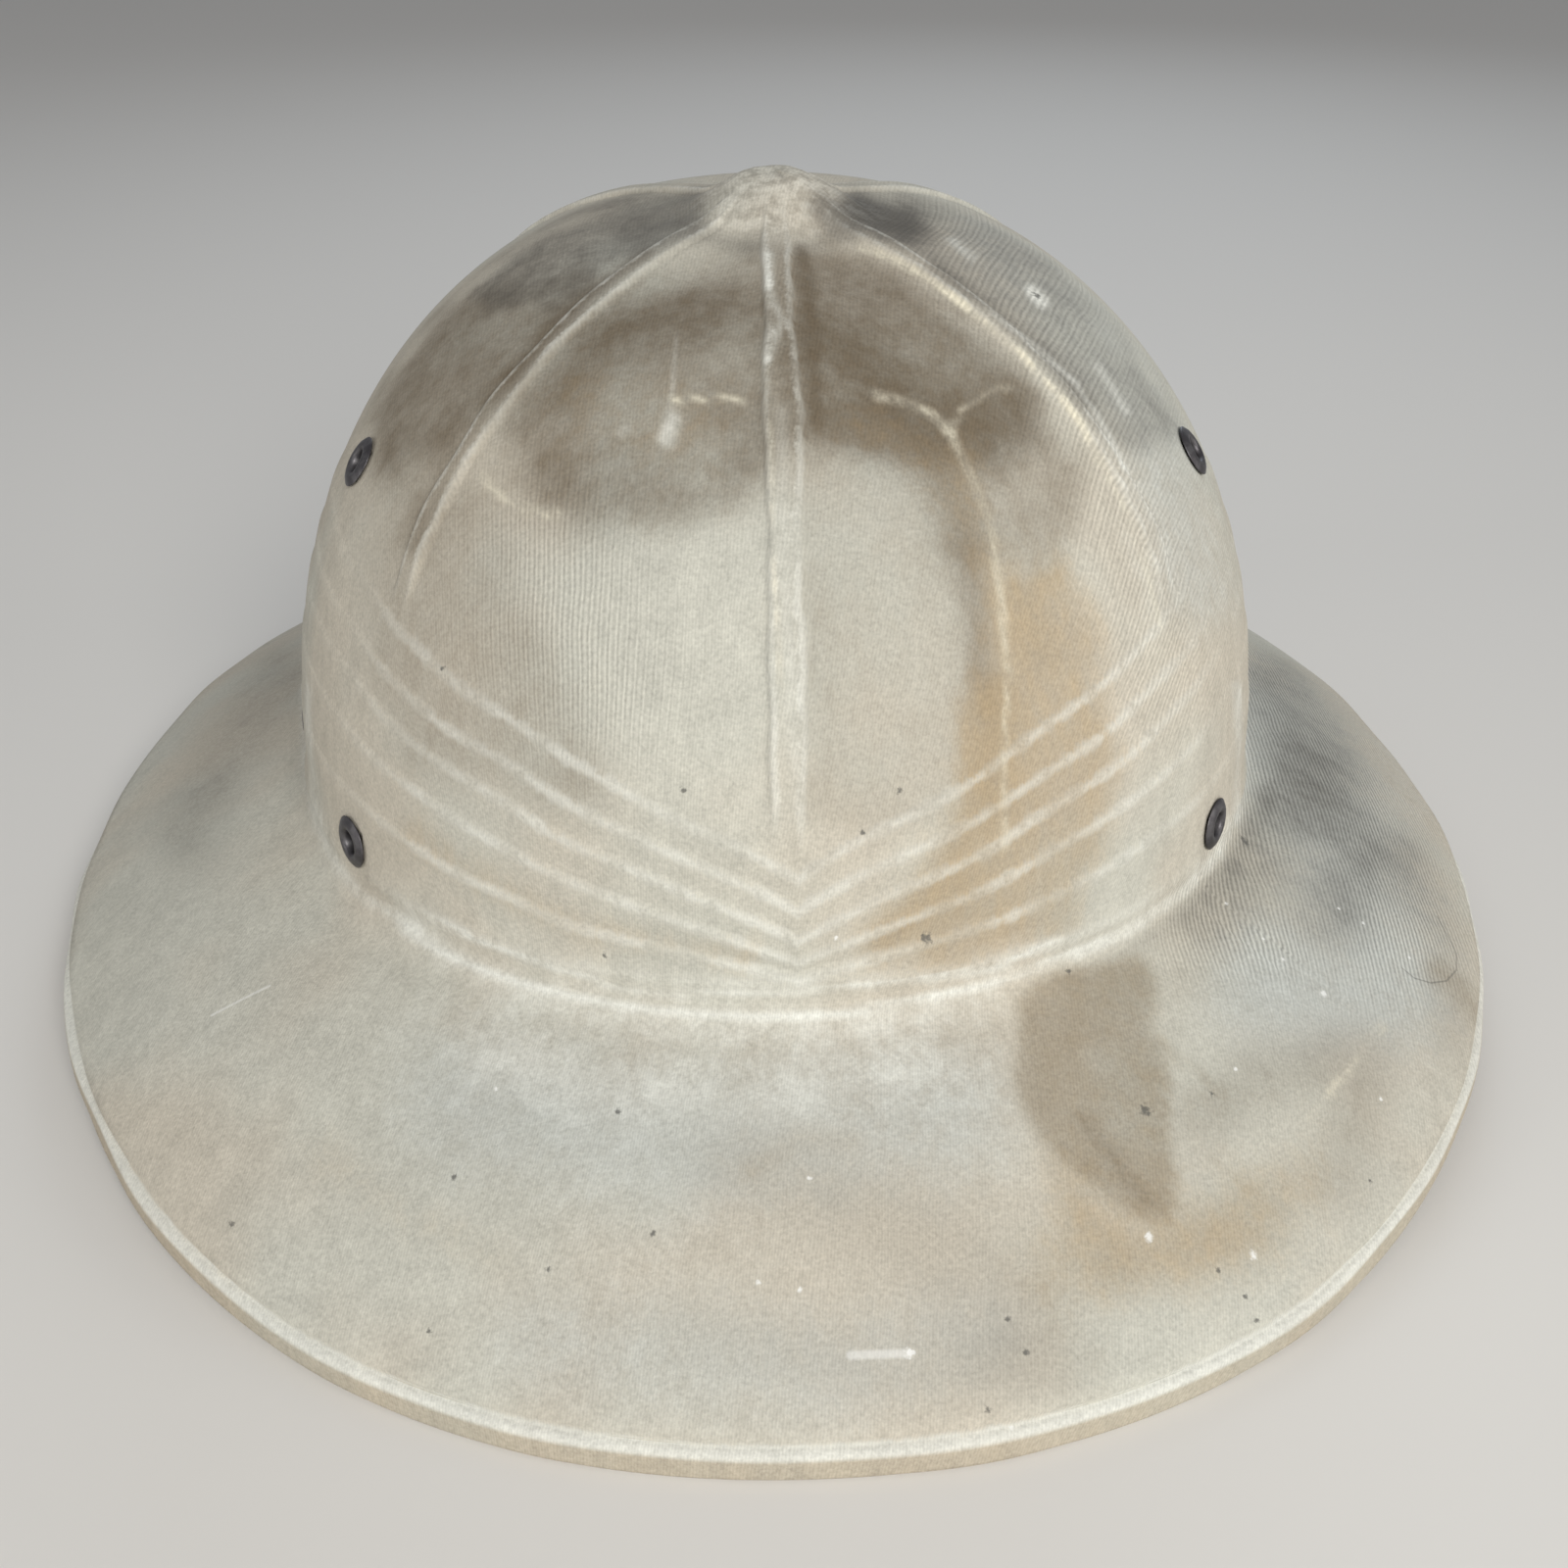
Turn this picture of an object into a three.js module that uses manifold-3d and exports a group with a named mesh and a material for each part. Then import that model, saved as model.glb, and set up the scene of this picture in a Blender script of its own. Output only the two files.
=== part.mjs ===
// A sun helmet of pressed fibre under one glued cotton twill cover, resting on its brim.
// Millimetres, +Z up, front toward -Y. The origin lies on the surface, under the middle of the brim.
import * as THREE from 'three';
import Module from 'manifold-3d';
import { mergeVertices } from 'three/addons/utils/BufferGeometryUtils.js';

const wasm = await Module();
wasm.setup();

// Overall sizes
const helmetWidth = 280;
const helmetLength = 346;
const brimSquareness = 2.1;   // exponent of the brim's oval, 2 is an ellipse
const sideLift = 6;           // the brim stands this much off the surface at the sides
const liftStart = 0.09;       // squared sine of the azimuth where the lift begins
const lipHeight = 5;          // turned-down lip of the brim
const lipRound = 1.6;         // worn rounding along its upper edge

// Crown
const crownForward = 28;      // crown axis in front of the brim's middle
const crownHalfWidth = 87.5;
const crownFront = 91;        // from the crown axis to the front wall
const crownBack = 116;        // from the crown axis to the back wall
const crownSquareness = 2.06;
const wallFoot = 39;          // height where the crown wall would meet the brim
const crownTop = 140;         // height under the boss
const crownRise = crownTop - wallFoot;
const profileHeightPower = 2.55;
const profileFrontPower = 1.7;    // the front slopes back more than the rear
const profileBackPower = 2.6;
const filletUp = 5.5;         // the foot of the wall is rounded from here
const filletOut = 6;          // to this far out on the brim
const brimBelly = 3;          // the brim bows up this much between crown and lip

// Walls
const clothWall = 1.0;
const fibreWall = 2.0;
const gap = 0.3;
const lipDrop = 0.6;          // fall of the lip's inner corner for each millimetre of depth

// Boss on top, and the six pressed welts that run down from it
const bossHeight = 5.5;
const bossRadius = 17;
const bossCrownRadius = 7;    // the welts die out inside it
const bossFlat = 2.5;
const weltAzimuths = [0, 50, 128, 180, 232, 310];
const weltHeight = 1.1;
const weltFlat = 2.2;         // half width of its flat top
const weltFoot = 3.6;         // half width at its foot
const weltFade = 0.1;         // part of the crown angle over which a welt dies out
const hollowDepth = 0.7;      // dips between the welts, close to the boss
const hollowRadius = 25;
const hollowSpread = 9;

// Pressed folds that cross in a V at the front: heights above the foot of the wall
const folds = [
  { front: 24.5, side: 57, back: 50 },
  { front: 19.5, side: 49.5, back: 43 },
  { front: 14.5, side: 43, back: 37 },
  { front: 10.5, side: 34, back: 29 },
  { front: 7, side: 22, back: 19 },
];
const foldStep = 0.9;         // each fold stands this proud of the one above
const foldEdge = 1.0;         // height over which it steps out
const foldRisePower = 0.78;
const bandTaper = 0.3;        // what is left of the lowest fold's step in the band below it
const beadProud = 0.8;        // bead pressed at the foot of the wall

// Shallow dents in the crown: azimuth and height of the middle, half reaches, depth
const dents = [
  { azimuth: 27, height: 55, across: 9, along: 34, depth: 1.5 },
  { azimuth: -33, height: 74, across: 12, along: 12, depth: 1.0 },
  { azimuth: 16, height: 83, across: 10, along: 11, depth: 0.8 },
];

// Vent eyelets, three on each side: azimuth from the front and height above the surface
const eyelets = [
  { place: 'front', azimuth: 54.7, height: 48.8 },
  { place: 'upper', azimuth: 74, height: 103 },
  { place: 'rear', azimuth: 86, height: 48.8 },
];
const eyeletRadius = 5;
const eyeletHoleRadius = 2;
const eyeletBarrelRadius = 2.8;
const eyeletDome = 1.5;
const eyeletSides = 12;
const eyeletInside = 0.6;     // the curved inner wall comes this much nearer under the roll
const eyeletClear = 8;        // the cloth is pressed flat this far round an eyelet
const eyeletRoll = 4.4;       // radius of the rolled end inside
const drillLength = 16;

// Mesh rows and columns
const panelColumns = { narrow: 6, wide: 8 };
const crownRows = 7;
const bossRows = [0.25, 0.5, 0.75, 1];
const brimRows = [0.22, 0.45, 0.7, 0.9];
const filletRows = [0.3, 0.6, 1];
const innerCrownAngles = [0.17, 0.33, 0.48, 0.62, 0.8];
const innerWallUp = 8.5;      // lowest row of an inner face on the wall, over its foot
const innerFilletRows = [0.35, 1];
const innerBrimRow = 0.45;
const turnStep = 0.003;       // steps that the slopes of a row are measured over
const partStep = 0.02;

const degree = Math.PI / 180;
const signedPower = (value, power) => Math.sign(value) * Math.abs(value) ** power;
const smooth = (value) => {
  const part = THREE.MathUtils.clamp(value, 0, 1);
  return part * part * (3 - 2 * part);
};
const turnBetween = (a, b) => Math.atan2(Math.sin(a - b), Math.cos(a - b));

// Plan outlines: azimuth 0 is the front, and it grows toward +X
function ovalDirection(azimuth, squareness) {
  const power = 2 / squareness;
  return [signedPower(Math.sin(azimuth), power), signedPower(Math.cos(azimuth), power)];
}

function rimLift(azimuth) {
  return sideLift * smooth((Math.sin(azimuth) ** 2 - liftStart) / (1 - liftStart));
}

function rimPoint(azimuth, inset = 0) {
  const [across, ahead] = ovalDirection(azimuth, brimSquareness);
  return new THREE.Vector2(
    (helmetWidth / 2 - inset) * across,
    -(helmetLength / 2 - inset) * ahead,
  );
}

// The crown: angle 0 is its top and a quarter turn is the foot of the wall
function profilePower(azimuth) {
  const ahead = (1 + Math.cos(azimuth)) / 2;
  return THREE.MathUtils.lerp(profileBackPower, profileFrontPower, smooth(ahead));
}

function crownReach(azimuth) {
  const [across, ahead] = ovalDirection(azimuth, crownSquareness);
  const length = ahead > 0 ? crownFront : crownBack;
  return new THREE.Vector2(crownHalfWidth * across, -length * ahead);
}

function crownPoint(azimuth, angle) {
  const radius = Math.sin(angle) ** (2 / profilePower(azimuth));
  const rise = Math.max(Math.cos(angle), 0) ** (2 / profileHeightPower);
  const reach = crownReach(azimuth);
  return new THREE.Vector3(
    reach.x * radius,
    reach.y * radius - crownForward,
    wallFoot + crownRise * rise,
  );
}

const angleAtHeight = (height) => Math.acos((height / crownRise) ** (profileHeightPower / 2));
const angleAtRadius = (azimuth, radius) =>
  Math.asin((radius / crownReach(azimuth).length()) ** (profilePower(azimuth) / 2));

// The brim: 0 is the foot of the wall, 1 is the top edge of the lip
function brimPoint(azimuth, part) {
  const foot = crownPoint(azimuth, Math.PI / 2);
  const rim = rimPoint(azimuth);
  const rimHeight = rimLift(azimuth) + lipHeight;
  return new THREE.Vector3(
    THREE.MathUtils.lerp(foot.x, rim.x, part),
    THREE.MathUtils.lerp(foot.y, rim.y, part),
    THREE.MathUtils.lerp(foot.z, rimHeight, part) + brimBelly * 4 * part * (1 - part),
  );
}

function brimWidth(azimuth) {
  const foot = crownPoint(azimuth, Math.PI / 2);
  return Math.hypot(rimPoint(azimuth).x - foot.x, rimPoint(azimuth).y - foot.y);
}

// The rounded foot of the wall: one curve from the wall to the brim
function filletPoint(azimuth, part) {
  const corner = brimPoint(azimuth, 0);
  const above = crownPoint(azimuth, angleAtHeight(filletUp));
  const beside = brimPoint(azimuth, filletOut / brimWidth(azimuth));
  return new THREE.QuadraticBezierCurve3(above, corner, beside).getPoint(part);
}

// A row is a function of azimuth on the outer face, before any relief
const crownRow = (angleOf) => (azimuth) => crownPoint(azimuth, angleOf(azimuth));
const filletRow = (part) => (azimuth) => filletPoint(azimuth, part);
const brimRow = (part) => (azimuth) => {
  const start = filletOut / brimWidth(azimuth);
  return brimPoint(azimuth, THREE.MathUtils.lerp(start, 1, part));
};

// Outward normal of a row function, from its neighbours along and across
function rowNormal(row, azimuth, slope) {
  const along = row(azimuth + turnStep).sub(row(azimuth - turnStep));
  return along.normalize().cross(slope(azimuth)).normalize().negate();
}

const crownSlope = (angleOf) => (azimuth) => {
  const angle = angleOf(azimuth);
  return crownPoint(azimuth, angle + turnStep).sub(crownPoint(azimuth, angle - turnStep));
};
const filletSlope = (part) => (azimuth) =>
  filletPoint(azimuth, Math.min(part + partStep, 1))
    .sub(filletPoint(azimuth, Math.max(part - partStep, 0)));
const brimSlope = (part) => (azimuth) =>
  brimPoint(azimuth, part + partStep).sub(brimPoint(azimuth, part - partStep));

// Height of a fold's upper edge over the foot of the wall
function foldHeight(fold, azimuth) {
  const side = Math.abs(Math.sin(azimuth));
  return Math.cos(azimuth) > 0
    ? THREE.MathUtils.lerp(fold.front, fold.side, side ** foldRisePower)
    : THREE.MathUtils.lerp(fold.back, fold.side, side);
}

// How flat the cloth is pressed at a point: 0 at an eyelet, 1 away from them
function eyeletMask(point) {
  return eyelets.reduce((mask, eyelet) => {
    const reach = [1, -1].map((side) => eyeletSeat(eyelet, side).point.distanceTo(point));
    return mask * smooth((Math.min(...reach) - eyeletRadius) / (eyeletClear - eyeletRadius));
  }, 1);
}

function eyeletSeat(eyelet, side) {
  const azimuth = side * eyelet.azimuth * degree;
  const angle = () => angleAtHeight(eyelet.height - wallFoot);
  const point = crownPoint(azimuth, angle());
  return { point, normal: rowNormal(crownRow(angle), azimuth, crownSlope(angle)) };
}

function dentDepth(azimuth, height) {
  return dents.reduce((depth, dent) => {
    const across = turnBetween(azimuth, dent.azimuth * degree) / (dent.across * degree);
    const along = (height - dent.height) / dent.along;
    return depth + dent.depth * Math.exp(-(across ** 2) - along ** 2);
  }, 0);
}

// Columns: four on each welt, which keep its width, and even ones on the panels between
function columnsAt(radius) {
  const reach = Math.max(radius, bossRadius);
  const offsets = [-weltFoot, -weltFlat, weltFlat, weltFoot];
  return weltAzimuths.flatMap((start, index) => {
    const next = weltAzimuths[index + 1] ?? 360;
    const count = next - start > 60 ? panelColumns.wide : panelColumns.narrow;
    const from = start * degree + weltFoot / reach;
    const to = next * degree - weltFoot / reach;
    const onWelt = offsets.map((offset, place) => ({
      azimuth: start * degree + offset / reach,
      welt: place === 1 || place === 2 ? 1 : 0,
      panel: 0,
    }));
    const onPanel = Array.from({ length: count }, (_, place) => {
      const part = (place + 1) / (count + 1);
      return { azimuth: THREE.MathUtils.lerp(from, to, part), welt: 0, panel: 4 * part * (1 - part) };
    });
    return [...onWelt, ...onPanel];
  });
}

const meanRadius = (row) => {
  const turns = [0, 90, 180, 270].map((turn) => row(turn * degree));
  return turns.reduce((sum, point) => sum + Math.hypot(point.x, point.y + crownForward), 0) / 4;
};

// A ring of points: the row moved along its normal by the relief, less the depth under the face
function ring({ row, slope, relief = () => 0, depth = 0 }) {
  return columnsAt(meanRadius(row)).map((column) => {
    const point = row(column.azimuth);
    const dent = dentDepth(column.azimuth, point.z - wallFoot);
    const lift = relief(column, point) * eyeletMask(point) - dent - depth;
    return point.addScaledVector(rowNormal(row, column.azimuth, slope), lift);
  });
}

// A ring of the lip: inset from the rim's outer face, at a height over the lip's lower edge
function lipRing(inset, height) {
  return columnsAt((helmetWidth + helmetLength) / 4).map((column) => {
    const edge = rimPoint(column.azimuth, inset);
    return new THREE.Vector3(edge.x, edge.y, rimLift(column.azimuth) + height);
  });
}

// One closed skin through rings that all have the same number of points, capped by its two tops
function closedSkin(firstTop, rings, lastTop) {
  const count = rings[0].length;
  const points = [firstTop, ...rings.flat(), lastTop];
  const last = points.length - 1;
  const at = (level, place) => 1 + level * count + (place % count);
  const faces = [];
  for (let place = 0; place < count; place += 1) {
    faces.push(0, at(0, place), at(0, place + 1));
    faces.push(at(rings.length - 1, place), last, at(rings.length - 1, place + 1));
    for (let level = 0; level + 1 < rings.length; level += 1) {
      faces.push(at(level, place), at(level + 1, place), at(level + 1, place + 1));
      faces.push(at(level, place), at(level + 1, place + 1), at(level, place + 1));
    }
  }
  const geometry = new THREE.BufferGeometry().setFromPoints(points);
  geometry.setIndex(faces);
  return geometry;
}

function toSolid(geometry) {
  const bare = geometry.clone();
  bare.deleteAttribute('normal');
  bare.deleteAttribute('uv');
  const merged = mergeVertices(bare, 1e-4);
  return new wasm.Manifold(new wasm.Mesh({
    numProp: 3,
    vertProperties: new Float32Array(merged.attributes.position.array),
    triVerts: new Uint32Array(merged.index.array),
  }));
}

function toGeometry(solid) {
  const mesh = solid.getMesh();
  const geometry = new THREE.BufferGeometry();
  geometry.setAttribute('position', new THREE.BufferAttribute(mesh.vertProperties, mesh.numProp));
  geometry.setIndex(new THREE.BufferAttribute(mesh.triVerts, 1));
  geometry.computeVertexNormals();
  return geometry;
}

// Relief of the cover's face on the crown
const bossLift = (radius) =>
  bossHeight * (1 - smooth((radius - bossFlat) / (bossRadius - bossFlat)));

function crownRelief(angleOf) {
  return (column, point) => {
    const radius = Math.hypot(point.x, point.y + crownForward);
    const foldTop = angleAtHeight(foldHeight(folds[0], column.azimuth));
    const fade = smooth((foldTop - angleOf(column.azimuth)) / weltFade);
    const nearBoss = Math.exp(-(((radius - hollowRadius) / hollowSpread) ** 2));
    const onBoss = smooth((radius - bossCrownRadius) / (bossRadius - bossCrownRadius));
    return column.welt * weltHeight * fade * onBoss
      + bossLift(radius)
      - column.panel * hollowDepth * nearBoss;
  };
}

function coverRings() {
  const bossParts = bossRows.map((part) => (azimuth) => angleAtRadius(azimuth, bossRadius * part));
  const crownParts = Array.from({ length: crownRows }, (_, index) => (azimuth) => {
    const from = angleAtRadius(azimuth, bossRadius);
    const to = angleAtHeight(foldHeight(folds[0], azimuth) + foldEdge);
    return THREE.MathUtils.lerp(from, to, (index + 1) / (crownRows + 0.5));
  });
  const upper = [...bossParts, ...crownParts].map((angleOf) =>
    ring({ row: crownRow(angleOf), slope: crownSlope(angleOf), relief: crownRelief(angleOf) }));
  const folded = folds.flatMap((fold) => [0, foldEdge].map((drop) => {
    const angleOf = (azimuth) => angleAtHeight(foldHeight(fold, azimuth) - drop);
    const relief = () => (drop > 0 ? foldStep : 0);
    return ring({ row: crownRow(angleOf), slope: crownSlope(angleOf), relief });
  }));
  const bandAngle = (azimuth) =>
    angleAtHeight(THREE.MathUtils.lerp(filletUp, foldHeight(folds.at(-1), azimuth) - foldEdge, 0.6));
  const band = ring({
    row: crownRow(bandAngle),
    slope: crownSlope(bandAngle),
    relief: () => foldStep * bandTaper,
  });
  const beadAngle = () => angleAtHeight(filletUp);
  const bead = ring({
    row: crownRow(beadAngle),
    slope: crownSlope(beadAngle),
    relief: () => beadProud,
  });
  const foot = filletRows.map((part) => ring({ row: filletRow(part), slope: filletSlope(part) }));
  const brim = brimRows.map((part) => ring({ row: brimRow(part), slope: brimSlope(part) }));
  const lip = [
    lipRing(lipRound, lipHeight + lipRound / 2),
    lipRing(lipRound / 4, lipHeight - lipRound / 4),
    lipRing(0, lipHeight - lipRound),
    lipRing(0, 0),
  ];
  return [...upper, ...folded, band, bead, ...foot, ...brim, ...lip];
}

// The plain face that lies a given depth under the outer one, from the top down to the lip
function innerRings(depth) {
  const angles = innerCrownAngles.map((part) => () => part * Math.PI / 2);
  const levels = [...angles, () => angleAtHeight(innerWallUp)];
  const crown = levels.map((angleOf) =>
    ring({ row: crownRow(angleOf), slope: crownSlope(angleOf), depth }));
  const foot = innerFilletRows.map((part) =>
    ring({ row: filletRow(part), slope: filletSlope(part), depth }));
  const brim = ring({ row: brimRow(innerBrimRow), slope: brimSlope(innerBrimRow), depth });
  return [...crown, ...foot, brim, lipRing(depth, lipHeight - depth * lipDrop)];
}

const crownApex = (height) => new THREE.Vector3(0, -crownForward, height);

function eyeletDrill(seat) {
  const drill = new THREE.CylinderGeometry(
    eyeletBarrelRadius + gap, eyeletBarrelRadius + gap, drillLength, eyeletSides);
  drill.rotateX(Math.PI / 2);
  const pose = new THREE.Quaternion().setFromUnitVectors(new THREE.Vector3(0, 0, 1), seat.normal);
  drill.applyQuaternion(pose);
  drill.translate(seat.point.x, seat.point.y, seat.point.z);
  return toSolid(drill);
}

function drilled(geometry) {
  const drills = eyelets.flatMap((eyelet) =>
    [1, -1].map((side) => eyeletDrill(eyeletSeat(eyelet, side))));
  return toGeometry(drills.reduce((solid, drill) => solid.subtract(drill), toSolid(geometry)));
}

// The twill cover: over the crown and brim, down the lip and in under the fibre's edge
function clothCover() {
  const hemInset = clothWall + gap + fibreWall;
  const hem = [lipRing(hemInset, 0), lipRing(hemInset, clothWall), lipRing(clothWall, clothWall)];
  const inside = innerRings(clothWall).reverse();
  return drilled(closedSkin(
    crownApex(crownTop + bossHeight),
    [...coverRings(), ...hem, ...inside],
    crownApex(crownTop - clothWall),
  ));
}

// The fibre shell: one pressed wall under the cover
function fibreShell() {
  const outer = clothWall + gap;
  const inner = outer + fibreWall;
  const edge = [lipRing(outer, outer), lipRing(inner, outer)];
  return drilled(closedSkin(
    crownApex(crownTop - outer),
    [...innerRings(outer), ...edge, ...innerRings(inner).reverse()],
    crownApex(crownTop - inner),
  ));
}

// A domed eyelet: flange on the cloth, barrel through both walls, rolled end inside
function eyeletGeometry() {
  const seat = -(clothWall + gap + fibreWall + gap + eyeletInside);
  const profile = [
    [eyeletHoleRadius, eyeletDome * 0.55],
    [eyeletBarrelRadius, eyeletDome],
    [eyeletRadius * 0.84, eyeletDome * 0.8],
    [eyeletRadius, gap + 0.2],
    [eyeletRadius, gap],
    [eyeletBarrelRadius, gap],
    [eyeletBarrelRadius, seat],
    [eyeletRoll, seat],
    [eyeletRoll, seat - 0.4],
    [eyeletBarrelRadius, seat - 0.9],
    [eyeletHoleRadius, seat - 0.5],
    [eyeletHoleRadius, eyeletDome * 0.55],
  ].map(([radius, height]) => new THREE.Vector2(radius, height)).reverse();
  return new THREE.LatheGeometry(profile, eyeletSides).rotateX(Math.PI / 2);
}

const material = (color, roughness, metalness = 0) =>
  new THREE.MeshStandardMaterial({ color, roughness, metalness });

function part(name, geometry, finish) {
  const mesh = new THREE.Mesh(geometry, finish);
  mesh.name = name;
  return mesh;
}

const helmet = new THREE.Group();
helmet.add(part('cloth_cover', clothCover(), material(0xbfb39a, 0.95)));
helmet.add(part('fibre_shell', fibreShell(), material(0x9a8464, 0.85)));

const gunmetal = material(0x4a474a, 0.45, 0.9);
for (const eyelet of eyelets) {
  for (const [sideName, side] of [['right', 1], ['left', -1]]) {
    const seat = eyeletSeat(eyelet, side);
    const ringPiece = part(`eyelet_${sideName}_${eyelet.place}`, eyeletGeometry(), gunmetal);
    ringPiece.position.copy(seat.point);
    ringPiece.quaternion.setFromUnitVectors(new THREE.Vector3(0, 0, 1), seat.normal);
    helmet.add(ringPiece);
  }
}

export default helmet;
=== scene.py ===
import math
from collections import namedtuple

import bmesh
import bpy
import numpy as np
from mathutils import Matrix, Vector


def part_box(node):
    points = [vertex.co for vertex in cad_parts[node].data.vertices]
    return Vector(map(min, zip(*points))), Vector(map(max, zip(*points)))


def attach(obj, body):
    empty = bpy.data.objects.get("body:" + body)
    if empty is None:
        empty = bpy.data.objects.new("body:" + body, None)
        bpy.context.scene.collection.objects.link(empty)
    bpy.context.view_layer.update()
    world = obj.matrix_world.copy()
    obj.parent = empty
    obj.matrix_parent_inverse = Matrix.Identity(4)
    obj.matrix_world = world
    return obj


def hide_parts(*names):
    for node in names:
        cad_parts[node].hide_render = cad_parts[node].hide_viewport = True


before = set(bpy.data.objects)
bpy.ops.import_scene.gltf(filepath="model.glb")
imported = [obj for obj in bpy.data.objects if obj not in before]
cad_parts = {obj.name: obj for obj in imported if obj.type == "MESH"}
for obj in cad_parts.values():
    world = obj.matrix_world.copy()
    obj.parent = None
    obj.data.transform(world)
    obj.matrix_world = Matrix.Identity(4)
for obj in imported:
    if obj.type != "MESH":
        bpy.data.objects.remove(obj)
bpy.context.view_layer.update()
mm = 0.001
coverLow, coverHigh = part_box("cloth_cover")
print("frame loaded:", len(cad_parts), "nodes")

# The helmet's form in millimetres: azimuth 0 is its front, at -Y, and grows toward +X
helmet = {
    "width": (coverHigh.x - coverLow.x) / mm,
    "length": (coverHigh.y - coverLow.y) / mm,
    "brimSquareness": 2.1,
    "sideLift": 6,  # the brim's sides stand off the floor
    "liftStart": 0.09,
    "lipHeight": 5,
    "lipRound": 1.6,
    "crownForward": 28,
    "crownHalfWidth": 87.5,
    "crownFront": 91,
    "crownBack": 116,
    "crownSquareness": 2.06,
    "wallFoot": 39,
    "crownTop": 140,
    "heightPower": 2.55,
    "frontPower": 1.7,
    "backPower": 2.6,
    "filletUp": 5.5,
    "filletOut": 6,
    "brimBelly": 3,
    "clothWall": 1.0,
    "fibreWall": 2.0,
    "gap": 0.3,
    "lipDrop": 0.6,
}
crownRise = helmet["crownTop"] - helmet["wallFoot"]

# Pressed relief of the cloth: boss, six welts, five folds in a V, the bead at the foot of the wall
relief = {
    "bossHeight": 5.5,
    "bossRadius": 17,
    "bossCrown": 7,
    "bossFlat": 2.5,
    "welts": [-0.8, 50, 128, 180, 232, 310],  # degrees from the front
    "weltHeight": 0.9,
    "weltUneven": 0.3,
    "weltFlat": 1.9,
    "weltFoot": 2.9,
    "weltFade": 0.1,
    "hollowDepth": 1.2,
    "hollowRadius": 25,
    "hollowSpread": 9,
    "folds": [
        {"front": 24.5, "side": 57, "back": 50},
        {"front": 19.5, "side": 49.5, "back": 43},
        {"front": 14.5, "side": 43, "back": 37},
        {"front": 10.5, "side": 34, "back": 29},
        {"front": 7.8, "side": 22, "back": 19},
    ],
    "foldStep": 0.5,
    "foldEdge": 1.4,
    "foldRise": 0.78,
    "foldUneven": 0.3,
    "foldSide": 0.45,  # how much of a fold's step is left at the sides
    "foldFoot": 1.5,  # the lowest fold fades this far above the fillet
    "foldEnd": 1,  # and its step would run out this far below the fillet's upper edge
    "foldNarrow": 0.2,
    "foldFall": 1.2,
    "wearLeast": 0.1,
    "wearStart": 0.5,
    "wearSpread": 0.35,
    "lumps": 0.35,  # of the worn boss, out to lumpRadius
    "lumpRadius": 15,
    "waves": 0.16,  # of the whole cloth
    "lipWaves": 0.28,
    "beadProud": 0.8,
    "beadWidth": 1.7,
    "dents": [
        {"azimuth": 27, "height": 55, "across": 9, "along": 34, "depth": 1.5},
        {"azimuth": -33, "height": 74, "across": 12, "along": 12, "depth": 1.0},
        {"azimuth": 16, "height": 83, "across": 10, "along": 11, "depth": 0.8},
    ],
    "dentFoot": 15,  # the dents fade below this height of the wall
}

# Slow waves that make the relief, the stains and the painted shade uneven: length in millimetres, and seed
waveForms = {
    "welt": {"size": 15, "seed": 2},
    "fold": {"size": 24, "seed": 5},
    "boss": {"size": 9, "seed": 7},
    "cloth": {"size": 38, "seed": 3},
    "lip": {"size": 30, "seed": 11},
    "stainAndShadeAcross": {"size": 14, "seed": 21},
    "stainAndShadeDown": {"size": 14, "seed": 22},
}
waveCount = 7
waveSpread = (0.7, 1.5)  # of each wave's length

eyeletForm = {
    "places": {
        "front": {"azimuth": 54.7, "height": 48.8},
        "upper": {"azimuth": 74, "height": 103},
        "rear": {"azimuth": 86, "height": 48.8},
    },
    "radius": 4.5,
    "hole": 2,
    "barrel": 2.8,
    "dome": 1.1,
    "roll": 4.4,
    "inside": 0.6,
    "clear": 8,  # the cloth is pressed flat this far round an eyelet
    "drill": 3.1,
    "drillLength": 16,
    "drillSides": 24,
    "turns": 48,
    "seatTurn": 0.003,  # small steps beside and above a seat that give its slope
    "seatRise": 0.3,
}
eyeletSeats = [(name, side) for name in eyeletForm["places"] for side in (1, -1)]


def smooth(value):
    part = np.clip(value, 0, 1)
    return part * part * (3 - 2 * part)


def lerp(start, end, part):
    return start + (end - start) * part


def oval(azimuth, squareness):
    across, ahead = np.sin(azimuth), np.cos(azimuth)
    power = 2 / squareness
    return np.sign(across) * np.abs(across) ** power, np.sign(ahead) * np.abs(ahead) ** power


def rimLift(azimuth):
    start = helmet["liftStart"]
    return helmet["sideLift"] * smooth((np.sin(azimuth) ** 2 - start) / (1 - start))


def rimPoint(azimuth, inset, height):
    across, ahead = oval(azimuth, helmet["brimSquareness"])
    x = (helmet["width"] / 2 - inset) * across
    y = -(helmet["length"] / 2 - inset) * ahead
    return np.stack([x, y, rimLift(azimuth) + height], -1)


def profilePower(azimuth):
    return lerp(helmet["backPower"], helmet["frontPower"], smooth((1 + np.cos(azimuth)) / 2))


def crownReach(azimuth):
    across, ahead = oval(azimuth, helmet["crownSquareness"])
    length = np.where(ahead > 0, helmet["crownFront"], helmet["crownBack"])
    return helmet["crownHalfWidth"] * across, -length * ahead


# A point of the crown: angle 0 is its top, a quarter turn is the foot of the wall
def crownPoint(azimuth, angle):
    radius = np.sin(angle) ** (2 / profilePower(azimuth))
    rise = np.maximum(np.cos(angle), 0) ** (2 / helmet["heightPower"])
    x, y = crownReach(azimuth)
    height = helmet["wallFoot"] + crownRise * rise
    return np.stack([x * radius, y * radius - helmet["crownForward"], height], -1)


def crownApex(rise):
    return np.array([0, -helmet["crownForward"], helmet["crownTop"] + rise])


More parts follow.
